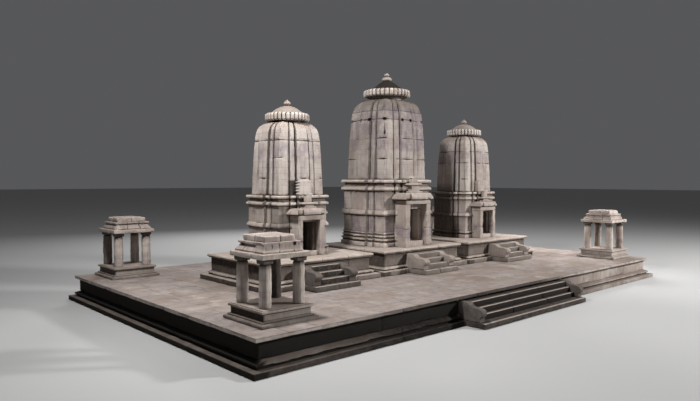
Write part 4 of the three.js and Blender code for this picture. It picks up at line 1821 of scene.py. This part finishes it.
    def panel(self) -> Block:
        """Makes the flat panel on the tower's front. Its sides are rounded courses on the left shrine.

        Returns:
            The panel as one stone.
        """
        front, low, rise, courses = -1.86, 3.68, 0.181, 5
        swell = 0.045 if self.position is Position.LEFT else 0.0
        shape = [(1.0, 0.0), (0.18, 0.03), (0.0, 0.09), (0.18, 0.145)]
        profile = [(swell * inset, low + rise * i + z) for i in range(courses) for inset, z in shape]
        made = course((-0.5, 0.5), (front, -1.3), [*profile, (swell, low + rise * courses)], 0.1, 0.02)
        ahead = made.points[:, 1] < front + 0.06
        made.points[:, 1] = np.where(ahead, front, made.points[:, 1])
        # The panel's front is clean; its sides keep part of their painted shade.
        made.dirt = np.where(ahead, 0.0, made.dirt * 0.6)
        return made

    def sockets(self) -> list[Block]:
        """Shapes of the square sockets around the tower, and of the crack at its near corner.

        Returns:
            The shapes that are cut out, which give the walls of their cuts painted shade.
        """
        pier, proud, half, deep, z = 1.468, 1.135, 0.07, 0.12, (6.93, 7.03)
        face_x, face_y = pier * SteppedPlan.ACROSS, pier * SteppedPlan.DEEP

        def outwards(side: int, face: float) -> Span:
            """Span from the bottom of a socket in a face to well outside it."""
            return tuple(sorted((side * (face - deep), side * 2)))

        cuts = []
        for side in (-1, 1):
            for along in (-0.33, 0.33):
                across = (along - half, along + half)
                cuts.append(block(across, outwards(side, face_y * proud), z, UNDIVIDED))
                cuts.append(block(outwards(side, face_x * proud), across, z, UNDIVIDED))
            for other in (-1, 1):
                cuts.append(block(outwards(side, face_x), outwards(other, face_y), z, UNDIVIDED))
        cuts.append(block((-2, -face_x - 0.012), (-2, -face_y - 0.012), (6.15, 6.75), UNDIVIDED))
        # The sockets and the crack are filled with painted shade.
        return [cut.darkened(1.0) for cut in cuts]

    def crown(self, ring: Repeater) -> None:
        """Sets the ribbed disc on its neck, with the dome and the bulbs of the finial.

        Args:
            ring: Sets out the ribs of the disc.
        """
        work = self.work("crown", Slot.TOWER, Wear(0.01, 0.03, 0.35, 0.004, 0.3))
        radius, bottom, top = (1.345, 8.345, 8.765) if self.fine else (1.405, 8.25, 8.755)
        lobe = self.lobe(radius, bottom, top)
        work.add(ring.copies(lobe, self.ribs, 2 * math.pi / self.ribs, self.yard.of(Slot.TOWER)))
        work.add(turned([(0.86, 8.17), (0.82, 8.25), (0.86, 8.33)], 40))
        core = [(1.0, bottom + 0.03), (1.24, bottom + 0.08), (1.24, top - 0.07), (0.9, top - 0.01)]
        work.add(turned(core, 48, 0.1))
        finial = turned(self.FINE_FINIAL if self.fine else self.PLAIN_FINIAL, 32, 0.06)
        # The dome is darker than the bulbs on it, the middle one most.
        dome_top, dome_darkening = (9.295, 1.0) if self.fine else (9.23, 0.3)
        work.add(finial.darkened(np.where(finial.points[:, 2] < dome_top, dome_darkening, 0.15)))
        work.finish(self.yard)

    def lobe(self, radius: float, bottom: float, top: float) -> Block:
        """Makes one rounded rib of the disc, with painted shade where it meets the next.

        Args:
            radius: Radius of the disc.
            bottom: Height of its underside.
            top: Height of its top.

        Returns:
            The rib as one stone.
        """
        angle, across, depth = math.pi / self.ribs, np.linspace(-1, 1, 9), 0.075
        levels = [(0.88, bottom), (0.95, bottom + 0.03), (0.985, bottom + 0.07), (1.0, bottom + 0.12),
                  (1.0, (bottom + top) / 2),
                  (1.0, top - 0.12), (0.985, top - 0.06), (0.94, top - 0.02), (0.86, top)]
        rings = []
        for share, _ in levels:
            reach = radius * share
            width = reach * math.sin(angle) * 0.96
            bulge = depth * share * (np.sqrt(1 - across ** 2) - 1)
            nose = np.column_stack([reach + bulge, across * width])
            rings.append(np.concatenate([[(0.5, -0.04)], nose, [(0.5, 0.04)]]))
        # Painted shade where one rib meets the next.
        dirt = np.concatenate([[0.0], 0.7 * np.abs(across) ** 6, [0.0]])
        return stacked(np.array(rings), np.array([z for _, z in levels]), np.tile(dirt, (len(levels), 1)))


@dataclass
class Kiosk:
    """Open kiosk of four eight-sided columns on a moulded base, under a slab and two roof tiers.

    Attributes:
        yard: The stone materials.
        name: First part of its nodes' names.
        place: Where it stands.
        lost: Corners of the roof that have broken off, as signs of X and Y.
        mended: Whether its lower tier has new stones and sockets at the front.
        grime: Soiling and painted shade on its base and columns, from 0 to 1.
        shadowed_column: Column that is dark all over with painted shadow, as signs of X and Y.
        half: Half side of the base.
        offset: Distance of the columns from its middle, along X and Y.
        slab: Half side of the slab on the columns.
        lower: Half side of the lower roof tier.
        upper: Half side of the upper roof tier.
        wear: Weathering of the columns and the slab.
    """

    yard: StoneYard
    name: str
    place: Place
    lost: list[tuple[int, int]]
    mended: bool
    grime: float
    shadowed_column: tuple[int, int] = (1, 1)
    half: float = 1.21
    offset: float = 0.705
    slab: float = 1.03
    lower: float = 0.905
    upper: float = 0.69
    wear: Wear = Wear(0.008, 0.045, 0.45, 0.007, 0.3)

    # Inset and height pairs of the base and of the roof tiers, and radius and height pairs of a column
    FOOT = ((0, 0), (0, 0.11), (0.04, 0.13), (0.11, 0.14), (0.12, 0.19), (0.2, 0.21), (0.2, 0.42),
            (0.13, 0.45), (0.12, 0.53), (0.13, 0.54), (0.19, 0.54), (0.19, 0.56))
    SHAFT = ((0.224, 0.56), (0.23, 0.75), (0.222, 0.95), (0.235, 1.2), (0.222, 1.5), (0.224, 1.7),
             (0.213, 2.03), (0.19, 2.04), (0.19, 2.07))
    LOWER = ((0.01, 2.41), (0, 2.47), (0.07, 2.55), (0.15, 2.65), (0.075, 2.7), (0.075, 2.765))
    UPPER = ((0.01, 2.76), (0, 2.79), (0, 2.96), (0.025, 2.985), (0.3, 3.01))
    MENDED = ((-0.04, 2.47), (0, 2.58), (0.02, 2.72), (0.0, 2.77))

    def build(self, corners: Repeater) -> None:
        """Builds the base, the columns with their slab, and the roof.

        Args:
            corners: Sets out the columns.
        """
        self.base()
        self.columns(corners)
        self.roof()

    def work(self, part: str, wear: Wear, **settings: object) -> Masonry:
        """Starts one piece of the kiosk."""
        return Masonry(f"{self.name}_kiosk_{part}", Slot.KIOSK, wear, self.place, **settings)

    @staticmethod
    def square(half: float, profile: Profile, spacing: float, joints: Joints | None = None) -> Block:
        """Makes a square course about the middle of the kiosk."""
        return course((-half, half), (-half, half), profile, spacing, 0.02, joints)

    def base(self) -> None:
        """Lays the moulded base, with painted shade that is darkest on the left of its dado."""
        work = self.work("base", Wear(0.006, 0.025, 0.3, 0.005, 0.4))
        foot = self.square(self.half, self.FOOT, 0.1)
        x, _, z = foot.points.T
        # Painted shade: black on the left of the dado, lighter elsewhere, scaled by the kiosk's amount.
        dado = np.where(x < -self.half + 0.22, 1.0, 0.45)
        foot.dirt *= 0.3 + 0.7 * self.grime
        base_darkening = np.where(between(z, 0.2, 0.43), dado, np.where(z < 0.2, 0.6, 0.25))
        work.add(foot.darkened(base_darkening * self.grime))
        work.finish(self.yard)

    def columns(self, corners: Repeater) -> None:
        """Sets out the four columns with their capitals and lays the slab over them.

        Args:
            corners: Sets out the columns and their capitals.
        """
        material = self.yard.of(Slot.KIOSK)
        work = self.work("columns", self.wear, stains=[StainBand(0.5, 1.3, 0.3, 0.3)])
        outline = refine(even_outline(8), 0.25, 0.1, closed=True)
        column = raised(refine(np.array(self.SHAFT), 0.07, 0.02), outline)
        # Painted shade at the top of each column, under the slab.
        column.darkened(ramp(column.points[:, 2], 1.85, 2.04) * 0.9)
        columns = corners.copies(column, 4, 2 * self.offset, material)
        # Painted shadow over one whole column.
        dark = (columns.points[:, :2] * self.shadowed_column > 0).all(axis=1)
        work.add(columns.darkened(np.where(dark, 0.9 * self.grime, 0.0)))
        # Painted shade on the capitals under the slab.
        capital = self.square(0.215, [(0.02, 2.06), (0, 2.09), (0, 2.225)], 0.07).darkened(0.85)
        work.add(corners.copies(capital, 4, 2 * self.offset, material))
        work.add(self.square(self.slab, [(0.01, 2.22), (0, 2.235), (0, 2.4), (0.01, 2.41)], 0.08))
        work.finish(self.yard)

    def roof(self) -> None:
        """Lays the two roof tiers, with their lost corners and, where they are mended, new stones."""
        worn, stains = Wear(0.004, 0.04, 0.35, 0.006, 0.3), [StainBand(2.4, 3.1, 0.3, 0.3)]
        work = self.work("roof", worn, stains=stains)
        lower = self.square(self.lower, self.LOWER, 0.07, Joints(0.62, work.noise, 0.014))
        upper = self.square(self.upper, self.UPPER, 0.08, Joints(0.7, work.noise, 0.01))
        lower.dirt = np.where(lower.dirt > 0.99, 0.8, lower.dirt * 0.3)
        for x, y in self.lost:
            lower.broken((x * 0.77, y * 0.76, 2.66), (x, y, 0.4), work.noise)
            upper.broken((x * 0.6, y * 0.6, 2.92), (x, y, 0.35), work.noise)
        work.add(lower)
        work.add(upper)
        holes = []
        if self.mended:
            for left, right in ((-0.84, -0.5), (-0.5, -0.2), (-0.2, 0.62)):
                work.add(course((left + 0.006, right - 0.006), (-0.84, -0.3), self.MENDED, 0.08, 0.02))
            # The sockets give the walls of their cuts painted shade.
            holes = [block((0.4, 0.5), (-1, -0.74), (2.65, 2.73), UNDIVIDED).darkened(1.0),
                     block((-1, -0.7), (0.5, 0.6), (2.63, 2.71), UNDIVIDED).darkened(1.0)]
        work.finish(self.yard, holes)


@dataclass(frozen=True)
class Lamp:
    """Soft square light that faces a target.

    Attributes:
        name: Name of the light.
        position: Where it hangs.
        target: Point that it faces.
        size: Length of its side.
        power: Its power in watts.
        spread: How wide it shines.
    """

    name: str
    position: Triple
    target: Triple
    size: float
    power: float
    spread: float = math.pi

    def hang(self, colour: Triple) -> None:
        """Adds the light to the scene.

        Args:
            colour: Colour of the light.
        """
        data = bpy.data.lights.new(self.name, "AREA")
        data.size, data.energy, data.spread, data.color = self.size, self.power, self.spread, colour
        lamp = in_scene(self.name, data)
        lamp.visible_camera = False
        lamp.location = self.position
        towards = Vector(self.target) - Vector(self.position)
        lamp.rotation_euler = towards.to_track_quat("-Z", "Y").to_euler()


@dataclass
class Studio:
    """Camera at the photograph's viewing angle, pale floor and soft studio light.

    Attributes:
        position: Where the camera stands.
        yaw: Its direction on the ground, from +X.
        pitch: How far it looks up.
        roll: How far it leans to the right.
        focal: Its focal length, in widths of the frame.
        sensor: Width of its sensor in millimetres.
        warm: Colour of the lamps.
        sky: Colour of the light from all round, and its strength.
        ground: Colour of the floor.
        reach: Half side of the floor.
    """

    position: Triple = (-25.036, -23.855, 6.098)
    yaw: float = math.radians(47.692)
    pitch: float = math.radians(-1.917)
    roll: float = math.radians(0.092)
    focal: float = 604.96 / 700.0
    sensor: float = 36.0
    warm: Triple = (1.0, 0.99, 0.98)
    sky: tuple[Triple, float] = ((0.86, 0.87, 0.9), 0.11)
    ground: Triple = (0.42, 0.42, 0.42)
    reach: float = 400.0

    LAMPS = (
        Lamp("right", (30, -36, 24), (0, 0, 4), 4.5, 27000),
        Lamp("left", (-16, -5, 20), (-3, 0, 5), 2, 4800),
        Lamp("above", (0, -6, 34), (0, 0, 2), 16, 1200),
        Lamp("end", (15, 1, 13), (13, -3, 1), 4, 430, math.radians(70)),
        Lamp("behind", (12, 34, 20), (0, 0, 4), 10, 5500),
    )

    def build(self) -> None:
        """Sets up the camera, the floor and the lights."""
        self.camera()
        self.floor()
        for lamp in self.LAMPS:
            lamp.hang(self.warm)
        world = bpy.data.worlds.new("studio")
        world.use_nodes = True
        background = world.node_tree.nodes["Background"]
        colour, strength = self.sky
        background.inputs["Color"].default_value = (*colour, 1)
        background.inputs["Strength"].default_value = strength
        bpy.context.scene.world = world
        bpy.context.scene.view_settings.view_transform = "Standard"

    def camera(self) -> None:
        """Places the camera from its position, its directions and its focal length."""
        flat = math.cos(self.pitch)
        forward = Vector((math.cos(self.yaw) * flat, math.sin(self.yaw) * flat, math.sin(self.pitch)))
        level = Vector((math.sin(self.yaw), -math.cos(self.yaw), 0))
        up = level.cross(forward)
        c, s = math.cos(self.roll), math.sin(self.roll)
        right, top = level * c + up * s, up * c - level * s
        data = bpy.data.cameras.new("camera")
        data.sensor_width = self.sensor
        data.lens = self.focal * self.sensor
        data.clip_end = 1000
        camera = in_scene("camera", data)
        turn = Matrix((right, top, -forward)).transposed().to_4x4()
        camera.matrix_world = Matrix.Translation(self.position) @ turn
        bpy.context.scene.camera = camera

    def floor(self) -> None:
        """Lays a plain pale floor that isn't part of the temple."""
        signs = np.array([(-1, -1, 0), (1, -1, 0), (1, 1, 0), (-1, 1, 0)])
        mesh = new_mesh("studio_floor", signs * self.reach - [0, 0, 0.002], np.array([[0, 1, 2, 3]]), [])
        material = bpy.data.materials.new("pale_floor")
        material.use_nodes = True
        shader = material.node_tree.nodes["Principled BSDF"]
        shader.inputs["Base Color"].default_value = (*self.ground, 1)
        shader.inputs["Roughness"].default_value = 0.9
        mesh.materials.append(material)
        in_scene("studio_floor", mesh)


def build_shrines(yard: StoneYard, deck: float) -> None:
    """Builds the three plinths with their shrines, each a little off the middle of its plinth.

    Args:
        yard: The stone materials.
        deck: Height of the deck.
    """
    ring = Repeater(Layout.RING)
    rows = [
        (Position.LEFT, -7.0, -0.29, 0.7, -0.025, 0.79, [(4.7, 0.3), (5.94, 0.12), (7.0, 1.0)]),
        (Position.MIDDLE, 0.12, -0.17, 0.25, -0.07, 1.0, [(4.8, 0.6), (5.94, 0.55), (6.98, 0.8)]),
        (Position.RIGHT, 7.2, 0.2, 0.25, 0.1, 0.79, [(4.7, 0.4), (6.0, 0.5), (6.9, 0.8)]),
    ]
    for position, x, stair, grime, shift, scale, joints in rows:
        Plinth(yard, position.value, Place(x, 0.0, deck), stair, grime).build()
        Shrine(yard, position, Place(x + shift, 0.58, deck + 1.25, scale), joints).build(ring)


def build_kiosks(yard: StoneYard, deck: float) -> None:
    """Builds the four kiosks, each with its own lost corners.

    Args:
        yard: The stone materials.
        deck: Height of the deck.
    """
    corners = Repeater(Layout.CORNERS)
    kiosks = [
        Kiosk(yard, "front_left", Place(-12.83, -6.29, deck), [(1, -1)], True, 1.0),
        Kiosk(yard, "front_right", Place(13.16, -6.12, deck), [(1, -1)], False, 0.35),
        Kiosk(yard, "rear_left", Place(-12.69, 6.69, deck), [(1, 1), (-1, -1)], False, 0.8, (-1, 1)),
        Kiosk(yard, "rear_right", Place(13.16, 6.69, deck), [(-1, 1)], False, 0.35),
    ]
    for kiosk in kiosks:
        kiosk.build(corners)


def main() -> None:
    """Builds the whole temple and its studio."""
    logging.basicConfig(level=logging.INFO, format="%(message)s")
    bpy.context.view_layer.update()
    Studio().build()
    yard = StoneYard()
    platform = Platform(yard)
    platform.build()
    build_shrines(yard, platform.top)
    build_kiosks(yard, platform.top)


if __name__ == "__main__":
    main()
